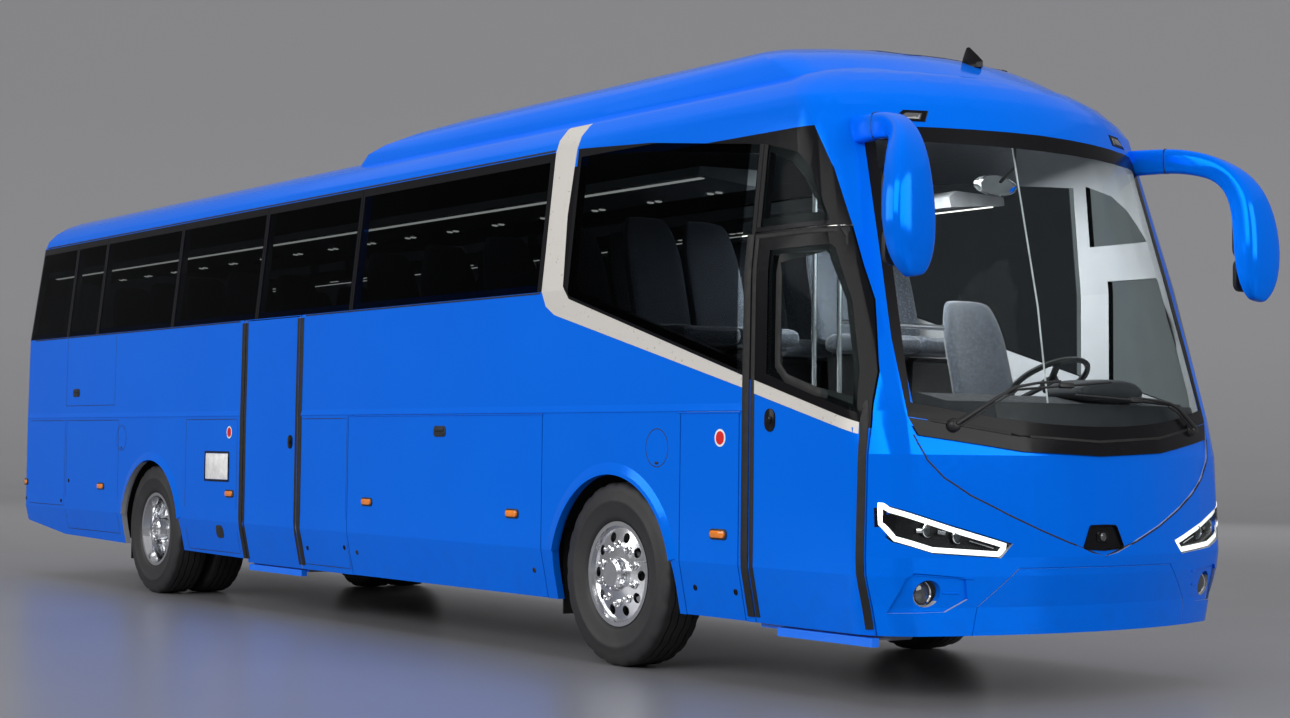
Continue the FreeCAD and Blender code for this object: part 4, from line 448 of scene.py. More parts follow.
SLOT_OF.update({CHROME: "alloy", DARK_PLASTIC: "black_trim", AMBER: "red_lamp", RED: "red_lamp",
                WHITE: "interior", DASH: "interior", PAINT: "body_paint", MIRROR_GLASS: "clear_glass",
                DAY_LIGHT: "lamp_parts", CABIN_LIGHT: "lamp_parts", LENS_GLASS: "lamp_parts",
                WHITE_LENS: "lamp_parts"})


def finish_nodes():
    """Every CAD node takes the finish of its slot in the record."""
    for part in frame["record"]["subparts"]:
        piece = NODES[part["node"]]
        piece.data.materials.clear()
        piece.data.materials.append(MATERIALS[part["material_slot"]])
    for name, material in OWN_FINISHES.items():
        NODES[name].data.materials[0] = material


# Shading of the CAD nodes: slight facets are rounded, and creases stay crisp.

FACET_ANGLE = math.radians(24)
LEVEL_CREASE = 0.07
ROOF_START = 2.9
PANEL_NODES = {part["node"] for part in frame["record"]["subparts"]
               if part["material_slot"] in ("body_paint", "silver_paint", "tinted_glass", "black_trim")}


def mesh_numbers(source, name, width, kind=np.float64):
    """One attribute of a mesh collection as an array."""
    values = np.empty(len(source) * width, kind)
    source.foreach_get(name, values)
    return values.reshape(-1, width) if width > 1 else values


def soften(piece, keep_levels):
    """Rounds the shading across slight facets, apart from level creases low on the body."""
    mesh = piece.data
    normals = mesh_numbers(mesh.polygons, "normal", 3)
    areas = mesh_numbers(mesh.polygons, "area", 1)
    heights = mesh_numbers(mesh.polygons, "center", 3)[:, 2]
    sizes = mesh_numbers(mesh.polygons, "loop_total", 1, np.int32)
    corners = mesh_numbers(mesh.loops, "vertex_index", 1, np.int32)
    faces = np.repeat(np.arange(len(sizes)), sizes)
    places = np.round(mesh_numbers(mesh.vertices, "co", 3) * 20000).astype(np.int64)
    _, spot = np.unique(places, axis=0, return_inverse=True)
    spot = spot.reshape(-1)[corners]
    order = np.argsort(spot, kind="stable")
    breaks = np.flatnonzero(np.diff(spot[order])) + 1
    result = normals[faces]
    limit = math.cos(FACET_ANGLE)
    for group in np.split(order, breaks):
        around = faces[group]
        ways = normals[around]
        near = ways @ ways.T > limit
        if keep_levels and heights[around].mean() < ROOF_START:
            near &= np.abs(ways[:, None, 2] - ways[None, :, 2]) < LEVEL_CREASE
        result[group] = (near * areas[around]) @ ways
    lengths = np.linalg.norm(result, axis=1, keepdims=True)
    result = np.where(lengths > 1e-12, result / np.maximum(lengths, 1e-12), normals[faces])
    mesh.polygons.foreach_set("use_smooth", np.ones(len(sizes), bool))
    mesh.normals_split_custom_set(result.tolist())


# Finding the surface that a fine piece sits on.

def tree_of(names):
    """The faces of some nodes, ready for rays."""
    points, faces = [], []
    for name in names:
        mesh = NODES[name].data
        base = len(points)
        points += [vertex.co.copy() for vertex in mesh.vertices]
        faces += [[base + index for index in polygon.vertices] for polygon in mesh.polygons]
    return BVHTree.FromPolygons(points, faces)


OUTSIDE = [name for name in NODES if name not in ("mirrors", "wipers", "mud_flaps") and "tyre" not in name
           and "wheel" not in name]
SHELL = tree_of(OUTSIDE)
LAMPS = tree_of(["front_lamps"])
FAR_OUT = 9.0


def seat(tree, start, way):
    """The first point and outward normal that a ray meets."""
    point, normal, _, _ = tree.ray_cast(Vector(start), Vector(way))
    if point is None:
        raise RuntimeError("nothing to sit on at %s" % (tuple(start),))
    return point, normal if normal.dot(Vector(way)) < 0 else -normal


def on_side(x, z, side=-1):
    """A point on the side of the body."""
    return seat(SHELL, (x, side * FAR_OUT, z), (0, -side, 0))


def on_front(y, z, tree=SHELL):
    """A point on the front of the body."""
    return seat(tree, (FAR_OUT, y, z), (-1, 0, 0))


def on_rear(y, z):
    """A point on the rear of the body."""
    return seat(SHELL, (-FAR_OUT, y, z), (1, 0, 0))


def on_top(x, y):
    """A point on top of the body."""
    return seat(SHELL, (x, y, FAR_OUT), (0, 0, -1))


# Building pieces: rings of points, joined by quads.

X_WAY, Y_WAY, Z_WAY = Vector((1, 0, 0)), Vector((0, 1, 0)), Vector((0, 0, 1))


def turns(count):
    """The cosine and sine of each of some equal turns."""
    return [(math.cos(2 * math.pi * turn / count), math.sin(2 * math.pi * turn / count))
            for turn in range(count)]


def middle_point(points):
    """The mean of some points."""
    return sum(points, Vector()) / len(points)


def moved(seated, rise=0.0, lift=0.0, ahead=0.0):
    """A (point, normal) pair moved upwards, off the surface and forwards."""
    point, normal = seated
    return point + Z_WAY * rise + normal * lift + X_WAY * ahead, normal


def directions(points, loop=False):
    """The way along a path at each of its points."""
    last = len(points) - 1
    ways = []
    for number in range(last + 1):
        before = points[number - 1 if number or loop else 0]
        after = points[number + 1 if number < last else 0 if loop else last]
        ways.append((after - before).normalized())
    return ways


def line_on(pick, start, end, steps):
    """Seated points along a straight line between two pairs."""
    path = []
    for number in range(steps + 1):
        share = number / steps
        path.append(pick(start[0] + (end[0] - start[0]) * share, start[1] + (end[1] - start[1]) * share))
    return path


def path_on(pick, corners, steps):
    """Seated points along the straight lines between pairs, without the last one."""
    path = []
    for start, end in zip(corners, corners[1:]):
        path += line_on(pick, start, end, steps)[:-1]
    return path


def outline_on(pick, corners, steps=6):
    """Seated points round a closed polygon of pairs."""
    return path_on(pick, corners + corners[:1], steps)


def box_corners(low_a, high_a, low_b, high_b):
    """A rectangle's corners."""
    return [(low_a, low_b), (high_a, low_b), (high_a, high_b), (low_a, high_b)]


class Form:
    """Points and faces of one piece, gathered before it becomes a mesh."""

    def __init__(self):
        self.points = []
        self.faces = []

    def rings(self, rings, loop=False):
        """Joins rings of as many points each; a loop closes on itself, else the ends are capped."""
        base, count = len(self.points), len(rings[0])
        for ring in rings:
            self.points += [Vector(point) for point in ring]
        for number in range(len(rings) if loop else len(rings) - 1):
            first = base + number * count
            second = base + (number + 1) % len(rings) * count
            for index in range(count):
                after = (index + 1) % count
                self.faces.append((first + index, first + after, second + after, second + index))
        if not loop:
            last = base + (len(rings) - 1) * count
            self.faces.append(tuple(range(base + count - 1, base - 1, -1)))
            self.faces.append(tuple(range(last, last + count)))
        return self

    def ribbon(self, path, width, height, sunk=0.003, loop=False):
        """A low strip along (point, normal) pairs, with sloping edges."""
        rings = []
        edge = 0.75 if width > 0.012 else 0.6
        for (point, normal), way in zip(path, directions([point for point, _ in path], loop)):
            across = way.cross(normal).normalized() * (width / 2)
            rings.append([point + across * share + normal * rise for share, rise in (
                (-1, -sunk), (-1, height * 0.5), (-edge, height), (edge, height), (1, height * 0.5),
                (1, -sunk))])
        return self.rings(rings, loop)

    def line(self, pick, start, end, steps, width, height):
        """A ribbon along a straight line."""
        return self.ribbon(line_on(pick, start, end, steps), width, height)

    def frame(self, pick, corners, width, height, steps=6):
        """A ribbon round a closed polygon."""
        return self.ribbon(outline_on(pick, corners, steps), width, height, loop=True)

    def lid(self, path, steps, centre=None):
        """A low cover over a closed path; (share, rise) steps draw it in and lift it."""
        centre = centre or middle_point([point for point, _ in path])
        return self.rings([[centre + (point - centre) * share + normal * rise for point, normal in path]
                           for share, rise in steps])

    def pad(self, seated, width, height, depth, corner=0.3, edge=0.3, sunk=0.01):
        """A raised plate with rounded corners and edges; corner and edge are shares."""
        point, normal = seated
        right = Z_WAY.cross(normal).normalized()
        up = normal.cross(right)
        slope = edge * depth
        rings = []
        for inset, lift in ((0, -sunk), (0, depth - slope), (slope * 0.3, depth - slope * 0.3),
                            (slope, depth)):
            half_w, half_h = width / 2 - inset, height / 2 - inset
            bend = max(corner * min(width, height) - inset, 0.0005)
            ring = []
            for turn, (sign_w, sign_h) in enumerate(((1, 1), (-1, 1), (-1, -1), (1, -1))):
                for step in range(5):
                    angle = math.pi / 2 * (turn + step / 4)
                    a = sign_w * (half_w - bend) + bend * math.cos(angle)
                    b = sign_h * (half_h - bend) + bend * math.sin(angle)
                    ring.append(point + right * a + up * b + normal * lift)
            rings.append(ring)
        return self.rings(rings)

    def lathe(self, seated, profile, segments):
        """A turned form: (radius, distance) points about the axis of a (point, axis) pair."""
        centre, axis = seated
        side = axis.orthogonal().normalized()
        other = axis.cross(side)
        return self.rings([[centre + axis * at + (side * cos + other * sin) * radius
                            for cos, sin in turns(segments)] for radius, at in profile])

    def tube(self, path, radius, sides=8):
        """A round bar along points; the radius may be a number or one for each point."""
        sizes = radius if hasattr(radius, "__len__") else [radius] * len(path)
        rings = []
        guide = None
        for point, way, size in zip(path, directions(path), sizes):
            guide = guide or way.orthogonal()
            guide = (guide - way * guide.dot(way)).normalized()
            other = way.cross(guide)
            rings.append([point + (guide * cos + other * sin) * size for cos, sin in turns(sides)])
        return self.rings(rings)

    def copy_across(self):
        """Adds the mirror image on the other side of the body."""
        base = len(self.points)
        self.points += [Vector((point.x, -point.y, point.z)) for point in self.points]
        self.faces += [tuple(base + index for index in reversed(face)) for face in self.faces]
        return self

    def piece(self, name, material, body="coach", slot=None, sharp=40, smooth_levels=0):
        """The finished object, riding on a body."""
        mesh = bpy.data.meshes.new(name)
        mesh.from_pydata([tuple(point) for point in self.points], [], self.faces)
        shape = bmesh.new()
        shape.from_mesh(mesh)
        bmesh.ops.recalc_face_normals(shape, faces=shape.faces)
        shape.to_mesh(mesh)
        shape.free()
        mesh.shade_smooth()
        mesh.set_sharp_from_angle(angle=math.radians(sharp))
        mesh.materials.append(material)
        made = bpy.data.objects.new(name, mesh)
        SCENE.collection.objects.link(made)
        if smooth_levels:
            rounding = made.modifiers.new("rounding", "SUBSURF")
            rounding.levels = smooth_levels
            rounding.render_levels = smooth_levels
        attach(made, body)
        return made


# Places along the side are distances from the front axle.

def middle_of(node):
    """The middle of a CAD node's box."""
    low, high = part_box(node)
    return (low + high) / 2


AXLE_X = middle_of("tyre_front_right").x
RIGHT, LEFT = -1, 1
SIDES = ((RIGHT, "right"), (LEFT, "left"))


def along(distance):
    """A row-frame x from a distance ahead of the front axle."""
    return AXLE_X + distance


def side_pick(side):
    """Seating on one side by (x, z)."""
    return lambda x, z: on_side(x, z, side)


def side_body(distance, side):
    """The body whose skin lies at a distance along a side."""
    if -3.206 < distance < -0.724:
        return "luggage_flap_right" if side == RIGHT else "luggage_flap_left"
    if side == RIGHT and 0.680 < distance < 1.194:
        return "locker_flap"
    return "coach"


# The sides: seals, panel joints, lamps, locks and caps.

FLAP_LINES = ((-8.654, -7.506, 1.545, 2.155), (-9.72, -8.66, 0.66, 1.415), (-8.62, -7.40, 0.46, 1.415),
              (-5.98, -5.02, 0.40, 1.415), (-3.933, -3.230, 0.38, 1.415))
MARKERS = ((-9.667, 0.85), (-7.779, 0.85), (-5.139, 0.85), (-2.918, 0.85), (-1.047, 0.831),
           (1.027, 0.788))
LOCKS = ((-3.857, 0.496), (-3.280, 0.525), (-8.550, 0.883), (-8.727, 0.70), (-9.644, 0.70))
LOCKER_LOCKS = ((0.788, 0.493), (1.145, 0.490))
FLAP_LOCKS = ((-3.10, 0.50), (-0.83, 0.50))
REAR_LOCKS = -5.0
LOCK = ((0.017, -0.004), (0.017, 0.002), (0.014, 0.004), (0.009, 0.004), (0.008, 0.001))
FILLER_CAPS = ((0.457, 1.240), (-7.333, 1.265))
FILLER_RADIUS = 0.105
FLAP_HANDLE = (-1.944, 1.328)
SERVICE_HANDLE = (-8.407, 1.659)
SERVICE_HATCH = (-5.599, -5.165, 0.946, 1.163)
SIGN_SPOTS = ((1.033, 1.297), (-5.165, 1.316))
FINE_LINE = (0.005, 0.0008)


def side_joints():
    """Thin dark joints round the service flaps and round the filler flaps, with their grips."""
    joints, rims, grips = Form(), Form(), Form()
    for side, _ in SIDES:
        for rear, front, low, high in FLAP_LINES:
            joints.frame(side_pick(side), box_corners(along(rear), along(front), low, high), *FINE_LINE)
    for x, z in FILLER_CAPS:
        for side, _ in SIDES:
            ring = [on_side(along(x) + FILLER_RADIUS * cos, z + FILLER_RADIUS * sin, side)
                    for cos, sin in turns(36)]
            rims.ribbon(ring, *FINE_LINE, loop=True)
            grips.pad(moved(on_side(along(x), z, side), -0.083), 0.034, 0.014, 0.003, 0.5)
    joints.piece("side_panel_joints", RUBBER)
    rims.piece("filler_flap_joints", RUBBER)
    grips.piece("filler_flap_grips", DARK_PLASTIC)


def side_markers():
    """Amber side markers on thin black bases."""
    forms = {}
    for side, _ in SIDES:
        for x, z in MARKERS:
            base, lens = forms.setdefault(side_body(x, side), (Form(), Form()))
            seated = on_side(along(x), z, side)
            base.pad(seated, 0.150, 0.058, 0.006, 0.4)
            lens.pad(moved(seated, lift=0.005), 0.126, 0.040, 0.011, 0.45, 0.6)
    for body, (base, lens) in forms.items():
        base.piece("marker_bases_" + body, DARK_PLASTIC, body)
        lens.piece("marker_lenses_" + body, AMBER, body)


def handle(form, place, side):
    """A paddle handle in its dished plate, with a key lock."""
    seated = on_side(along(place[0]), place[1], side)
    form.pad(seated, 0.150, 0.070, 0.005, 0.35)
    form.pad(moved(seated, 0.012, 0.004), 0.120, 0.026, 0.009, 0.4, 0.5)
    form.lathe(moved(seated, -0.018, ahead=0.045), ((0.010, 0), (0.010, 0.0075), (0.007, 0.008)), 20)


def locks():
    """Small round key locks and the recessed handles of the flaps."""
    fixed, locker, service = Form(), Form(), Form()
    for side, _ in SIDES:
        for x, z in LOCKS:
            if side == RIGHT or x < REAR_LOCKS:
                fixed.lathe(on_side(along(x), z, side), LOCK, 24)
        handle(service, SERVICE_HANDLE, side)
    for x, z in LOCKER_LOCKS:
        locker.lathe(on_side(along(x), z), LOCK, 24)
    fixed.piece("body_locks", BLACK)
    locker.piece("locker_locks", BLACK, "locker_flap")
    for side, name in SIDES:
        flap = Form()
        handle(flap, FLAP_HANDLE, side)
        for x, z in FLAP_LOCKS:
            flap.lathe(on_side(along(x), z, side), LOCK, 24)
        flap.piece("luggage_flap_handle_" + name, DARK_PLASTIC, "luggage_flap_" + name)
    service.piece("service_flap_handles", DARK_PLASTIC)


def service_box():
    """The small hatch ahead of the rear wheels, with a black frame, and the cover below it."""
    rim, plate, dish = Form(), Form(), Form()
    rear, front, low, high = SERVICE_HATCH
    width, height = front - rear, high - low
    rim.frame(side_pick(RIGHT), box_corners(along(rear), along(front), low, high), 0.016, 0.006)
    plate.pad(on_side(along((rear + front) / 2), (low + high) / 2), width - 0.02, height - 0.02, 0.003,
              0.05)
    seated = on_side(along(-5.335), 0.555)
    dish.pad(seated, 0.13, 0.10, 0.004, 0.35)
    dish.pad(moved(seated, 0.022, 0.003), 0.10, 0.03, 0.006, 0.4)
    rim.piece("hatch_frame", BLACK)
    plate.piece("hatch_plate", WHITE)
    dish.piece("towing_point_cover", DARK_PLASTIC)


def round_signs():
    """Plain round stickers: a red disc in a white ring, with nothing on it."""
    for number, (x, z) in enumerate(SIGN_SPOTS):
        for name, radius, lift, finish in (("ring", 0.047, 0.0006, WHITE), ("disc", 0.036, 0.0011, RED)):
            form = Form().lathe(on_side(along(x), z), ((radius, -0.002), (radius, lift)), 40)
            form.piece("sign_%s_%d" % (name, number), finish, side_body(x, RIGHT))


# The doors: seals, stripe and locks.

DOOR_SKIN = tree_of(["front_door"])
DOOR_SEAL = 0.058
LEAF_SEAL = 0.046
SEAL_FOOT = 0.37
FRONT_SEAL_TOP, LEAF_SEAL_TOP, LEAF_HEAD = 2.36, 2.355, 2.345
MID_SEAL_TOP, MID_HEAD = 2.14, 2.157
EDGE_SEARCH = 0.65
EDGE_HALVINGS = 14
STRIPE_RUN = ((1.316, 1.53, 1.60), (2.128, 1.3204, 1.3777))


def leading_edge(z):
    """The x of the front door's leading edge at a height, by halving between inside and outside."""
    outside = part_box("front_door")[1].x + 0.01
    inside = outside - EDGE_SEARCH
    for _ in range(EDGE_HALVINGS):
        middle = (inside + outside) / 2
        if DOOR_SKIN.ray_cast(Vector((middle, -FAR_OUT, z)), Y_WAY)[0]:
            inside = middle
        else:
            outside = middle
    return inside


def door_seals():
    """Black rubber down both sides of each doorway, and over the doors."""
    pick = side_pick(RIGHT)
    fixed, front_leaf, mid_leaf = Form(), Form(), Form()
    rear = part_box("front_door")[0].x
    gap = 0.008 + DOOR_SEAL / 2
    fixed.line(pick, (rear - gap, SEAL_FOOT), (rear - gap, FRONT_SEAL_TOP), 24, DOOR_SEAL, 0.006)
    leading = [pick(leading_edge(z) - LEAF_SEAL / 2 - 0.002, z)
               for z in np.linspace(SEAL_FOOT, LEAF_SEAL_TOP, 30)]
    front_leaf.ribbon(leading, LEAF_SEAL, 0.005)
    front_leaf.line(pick, (rear + 0.020, SEAL_FOOT), (rear + 0.020, LEAF_SEAL_TOP), 24, 0.032, 0.004)
    front_leaf.line(pick, (rear + 0.004, LEAF_HEAD), (leading_edge(LEAF_HEAD) - 0.006, LEAF_HEAD), 8,
                    0.024, 0.004)
    rear, front = [corner.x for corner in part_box("mid_door")]
    for form, inset, width, height in ((fixed, -gap, DOOR_SEAL, 0.006), (mid_leaf, 0.020, 0.032, 0.004)):
        for x in (rear + inset, front - inset):
            form.line(pick, (x, SEAL_FOOT), (x, MID_SEAL_TOP), 24, width, height)
    fixed.line(pick, (rear - 0.03, MID_HEAD), (front + 0.03, MID_HEAD), 8, 0.010, 0.006)
    fixed.piece("doorway_seals", RUBBER)
    front_leaf.piece("front_door_seals", RUBBER, "front_door")
    mid_leaf.piece("mid_door_seals", RUBBER, "mid_door")


def door_stripe():
    """The silver band's run across the front door, and the same below the driver's window."""
    for (side, name), body in zip(SIDES, ("front_door", "coach")):
        rings = []
        for number in range(17):
            x, low, top = (first + (last - first) * number / 16 for first, last in zip(*STRIPE_RUN))
            rings.append([moved(on_side(along(x), z, side), lift=lift)[0] for z, lift in (
                (low, -0.002), (low, 0.0025), (top, 0.0025), (top, -0.002))])
        Form().rings(rings).piece("silver_stripe_" + name, MATERIALS["silver_paint"], body)


def door_fittings():
    """The round locks of the front door and the middle door."""
    for body, seated, width, height, radius in (
            ("front_door", on_side(along(1.457), 1.390), 0.085, 0.12, 0.019),
            ("mid_door", on_side(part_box("mid_door")[1].x - 0.11, 1.25), 0.075, 0.10, 0.017)):
        form = Form().pad(seated, width, height, 0.006, 0.5)
        form.lathe(moved(seated, lift=0.005), ((radius, 0), (radius, 0.006), (radius - 0.005, 0.008)), 24)
        form.piece(body + "_lock", BLACK, body)


def glass_trims():
    """The thin rubber at the windows' edges and between the panes."""
    form = Form()
    rear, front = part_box("side_glass")[0].x + 0.08, SEAL_FRONT
    for side, _ in SIDES:
        pick = side_pick(side)
        for z, width, height in ((GLASS_TOP + 0.012, 0.012, 0.003), (GLASS_LOW - 0.008, 0.010, 0.0025)):
            form.line(pick, (rear, z), (front, z), 40, width, height)
        for x in GLASS_SPLITS:
            form.line(pick, (x, GLASS_LOW + 0.01), (x, GLASS_TOP - 0.01), 6, 0.007, 0.0012)
    form.piece("window_seals", RUBBER)


# Wheels and tyres.

TYRE_SEGMENTS = 144
TYRE_OUTSIDE = 0.522
TREAD_EDGE = 0.110
GROOVES = (0.074, 0.026, -0.026, -0.074)
GROOVE_WIDTH, GROOVE_DEPTH = 0.011, 0.013
ZIGZAG, ZIGZAG_STEPS, LUG_CUT = 0.0035, 6, 0.006
TYRE_HALF = 0.145
TYRE_WALL = ((0.2880, 0.078), (0.2905, 0.098), (0.3040, 0.115), (0.3200, 0.126), (0.3280, 0.1275),
             (0.3600, 0.137), (0.4040, 0.1425), (0.4080, 0.1445), (0.4220, 0.1445), (0.4260, 0.1425),
             (0.4620, 0.139), (0.4900, 0.1325))


def crown(offset):
    """The tread's radius at a distance from the tyre's middle."""
    return TYRE_OUTSIDE - 0.0035 * (offset / TREAD_EDGE) ** 2


def tyre_section():
    """A tyre's section as (radius, offset, zigzag share, lug share) round the casing."""
    section = [(radius, offset, 0, 0) for radius, offset in TYRE_WALL]
    section += [(0.5060, 0.126, 0, 1), (0.5150, 0.1185, 0, 1), (crown(TREAD_EDGE), TREAD_EDGE, 0, 1)]
    floor = TYRE_OUTSIDE - GROOVE_DEPTH
    for at in GROOVES:
        half = GROOVE_WIDTH / 2
        section += [(crown(at + half), at + half, 1, 0), (floor, at + half * 0.6, 1, 0),
                    (floor, at - half * 0.6, 1, 0), (crown(at - half), at - half, 1, 0)]
    section += [(crown(TREAD_EDGE), -TREAD_EDGE, 0, 1), (0.5150, -0.1185, 0, 1), (0.5060, -0.126, 0, 1)]
    section += [(radius, -offset, 0, 0) for radius, offset in reversed(TYRE_WALL)]
    return section + [(0.44, -0.115, 0, 0), (0.44, 0.115, 0, 0)]


def tyre_rings(centre):
    """One tyre's rings about its centre; the axle runs along Y."""
    rings = []
    section = tyre_section()
    for turn, (cos, sin) in enumerate(turns(TYRE_SEGMENTS)):
        step = turn % ZIGZAG_STEPS
        wave = ZIGZAG * (abs(step - 3) / 1.5 - 1)
        cut = LUG_CUT if step in (0, 1) else 0.0
        rings.append([centre + Vector(((radius - cut * lug) * cos, offset + wave * zig,
                                       (radius - cut * lug) * sin))
                      for radius, offset, zig, lug in section])
    return rings


def tyres():
    """Treaded tyres in the place of the plain ones, twin ones at the rear."""
    for _, name in SIDES:
        low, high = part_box("tyres_rear_" + name)
        reach = (high.y - low.y) / 2 - TYRE_HALF
        for treads, node, body, shifts in (
                ("tread_front_", "tyre_front_", "wheel_front_", (0,)),
                ("treads_rear_", "tyres_rear_", "wheels_rear_", (-reach, reach))):
            form = Form()
            for shift in shifts:
                form.rings(tyre_rings(middle_of(node + name) + Y_WAY * shift), loop=True)
            made = form.piece(treads + name, MATERIALS["tyre"], body + name, sharp=50)
            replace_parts(made, node + name)


NUT_CIRCLE = 0.1675
NUTS = 10
VENT_CIRCLE = 0.240
VALVE_CIRCLE = 0.247
NUT = ((((0.025, -0.002), (0.025, 0.004), (0.022, 0.006)), 24),
       (((0.0185, 0.004), (0.0185, 0.021), (0.0165, 0.024)), 6),
       (((0.012, 0.020), (0.012, 0.031), (0.008, 0.034)), 16))


def wheel_fittings():
    """Nuts, hub bolts and a valve on each wheel; the rear discs also get black discs standing on them as
    painted shade for their vent holes.
    """
    for side, name in SIDES:
        axis = Y_WAY * side
        for end, body, bolts in (("front", "wheel_front_", 0.083), ("rear", "wheels_rear_", 0.046)):
            tree = tree_of(["wheel_%s_%s" % (end, name)])
            outer = middle_of("wheel_%s_%s" % (end, name))
            outer.y = side * FAR_OUT

            def on_wheel(angle, radius):
                return seat(tree, outer + Vector((math.cos(angle), 0, math.sin(angle))) * radius, -axis)

            form, vent_shade_discs = Form(), Form()
            for number in range(NUTS):
                angle = 2 * math.pi * (number + 0.5) / NUTS
                for profile, segments in NUT:
                    form.lathe((on_wheel(angle, NUT_CIRCLE)[0], axis), profile, segments)
                form.lathe((on_wheel(angle, bolts)[0], axis),
                           ((0.009, -0.002), (0.009, 0.006), (0.006, 0.008)), 6)
                if end == "rear":
                    # Painted shade: a black rubber disc sits proud of the wheel where each vent hole is, in
                    # place of a real hole.
                    vent_shade_discs.lathe(on_wheel(angle + math.pi / NUTS, VENT_CIRCLE),
                                ((0.026, -0.006), (0.026, 0.003), (0.020, 0.002)), 24)
            valve = on_wheel(math.pi / NUTS, VALVE_CIRCLE)[0]
            form.tube([valve, valve + axis * 0.03, valve + axis * 0.06 + X_WAY * 0.012], 0.0045, 10)
            form.piece("wheel_nuts_%s_%s" % (end, name), CHROME, body + name)
            if end == "rear":
                vent_shade_discs.piece("vent_hole_shade_rear_" + name, RUBBER, body + name)


# The front: lamps, camera, panel lines, wipers.

LAMP_OUTLINE = ((-0.585, 0.790, 1.94, 0.49), (-0.655, 0.722, 0.38, -1.03), (-1.000, 0.745, 0.0, -1.0),
                (-1.180, 0.800, -0.52, -0.89), (-1.262, 0.880, -1.0, -0.42), (-1.262, 1.010, -1.0, 1.58),
                (-1.182, 0.972, 0.31, 0.95), (-0.900, 0.880, 0.29, 0.98))
LAMP_SIDE = 1.215
LAMP_CORNER = 1.19
LENS_DEPTH = 0.013
LIGHT_INSET, CORNER_PROUD = 0.018, 0.0015
PROJECTORS = ((-1.012, 0.856), (-0.866, 0.826))
PROJECTOR_RING = ((0.0355, -0.002), (0.0355, 0.004), (0.031, 0.0055), (0.0285, 0.002), (0.0285, -0.002))
LAMP_BARS = (((-0.815, 0.806), (-0.690, 0.771), 6, 0.007), ((-1.075, 0.856), (-1.050, 0.856), 3, 0.022),
             ((-0.972, 0.848), (-0.935, 0.842), 3, 0.018))
FOG_LAMP = (-1.000, 0.548)
FOG_RING = ((0.064, -0.020), (0.064, -0.008), (0.058, -0.004), (0.052, -0.010), (0.052, -0.020))
FOG_LENS = ((0.050, -0.012), (0.046, -0.002), (0.036, 0.002), (0.022, 0.0045), (0.008, 0.0055))
FOG_RIBS = (((-0.925, 0.552), (-0.842, 0.549)), ((-1.080, 0.642), (-0.790, 0.622)))


def on_lamp(y, z):
    """A point just behind the face of the headlamp's lens, or on the skin at its outer corner."""
    point, normal = on_front(y, z)
    if abs(y) > LAMP_CORNER:
        return point + normal * CORNER_PROUD, normal
    return point - normal * LENS_DEPTH * max(normal.x, 0.25), normal


def headlamps():
    """Day-running light round each lamp, projector lenses with chrome rings, and inner bars."""
    light, rings, lenses, bars, corner = [Form() for _ in range(5)]
    outline = [(max(y - dy * LIGHT_INSET, -LAMP_SIDE), z - dz * LIGHT_INSET)
               for y, z, dy, dz in LAMP_OUTLINE]
    light.frame(on_lamp, outline, 0.026, 0.0035, 5)
    dome = [(0.028 * cos, -0.001 + 0.0065 * sin) for cos, sin in turns(32)[:8]]
    for y, z in PROJECTORS:
        point, _ = on_front(y, z, LAMPS)
        rings.lathe((point, X_WAY), PROJECTOR_RING, 40)
        lenses.lathe((point, X_WAY), [(0.028, -0.003)] + dome, 36)
    for start, end, steps, width in LAMP_BARS:
        bars.line(on_lamp, start, end, steps, width, 0.004)
    for side, top in ((LAMP_SIDE, 0.965), (LAMP_CORNER + 0.001, 0.932)):
        corner.line(on_lamp, (-side, 0.872), (-side, top), 8, 0.062, 0.0008)
    for form, name, finish in (
            (corner, "headlamp_corners", BLACK), (light, "day_running_lights", DAY_LIGHT),
            (rings, "projector_rings", CHROME), (lenses, "projector_lenses", LENS_GLASS),
            (bars, "headlamp_bars", ALLOY)):
        form.copy_across().piece(name, finish)


def fog_lamps():
    """Ring and ribbed lens of the fog lamps, and the low ribs beside them."""
    point, _ = on_front(*FOG_LAMP, LAMPS)
    Form().lathe((point, X_WAY), FOG_RING, 48).copy_across().piece("fog_lamp_rings", CHROME)
    Form().lathe((point, X_WAY), FOG_LENS, 48).copy_across().piece("fog_lamp_lenses", LENS_GLASS)
    ribs = Form()
    for start, end in FOG_RIBS:
        ribs.line(on_front, start, end, 8, 0.011, 0.004)
    ribs.copy_across().piece("fog_lamp_ribs", PAINT)


CAMERA_LOW, CAMERA_HIGH = 0.757, 0.879
CAMERA_OUTLINE = ((0.0, -0.008, 0), (0.132, 0.0, 0), (0.144, 0.014, 0), (0.098, -0.008, 1),
                  (0.086, 0.0, 1), (0.0, 0.002, 1))
CAMERA_LENS = ((0.021, 0), (0.021, 0.006), (0.017, 0.008), (0.014, 0.005), (0.007, 0.0075))


def camera_ring(inset, lift):
    """The camera opening's outline, drawn in, on the pocket's floor and lifted."""
    half = []
    for y, dz, upper in CAMERA_OUTLINE:
        half.append((max(y - inset, 0.0), (CAMERA_HIGH - inset if upper else CAMERA_LOW + inset) + dz))
    middle = (CAMERA_LOW + CAMERA_HIGH) / 2
    ring = []
    for y, z in half + [(-y, z) for y, z in reversed(half) if y]:
        point, _ = on_front(y * 0.96, middle + (z - middle) * 0.94)
        ring.append(Vector((point.x + lift, y, z)))
    return ring


def front_camera():
    """The black liner of the camera's opening, with its lens."""
    liner = Form().rings([camera_ring(inset, lift) for inset, lift in (
        (0.001, 0.0), (0.001, 0.027), (0.005, 0.027), (0.007, 0.012))])
    point, _ = on_front(0.0, 0.818)
    liner.pad((point, X_WAY), 0.085, 0.060, 0.014, 0.3).piece("camera_liner", BLACK)
    Form().lathe((point + X_WAY * 0.012, X_WAY), CAMERA_LENS, 32).piece("camera_lens", LENS_GLASS)


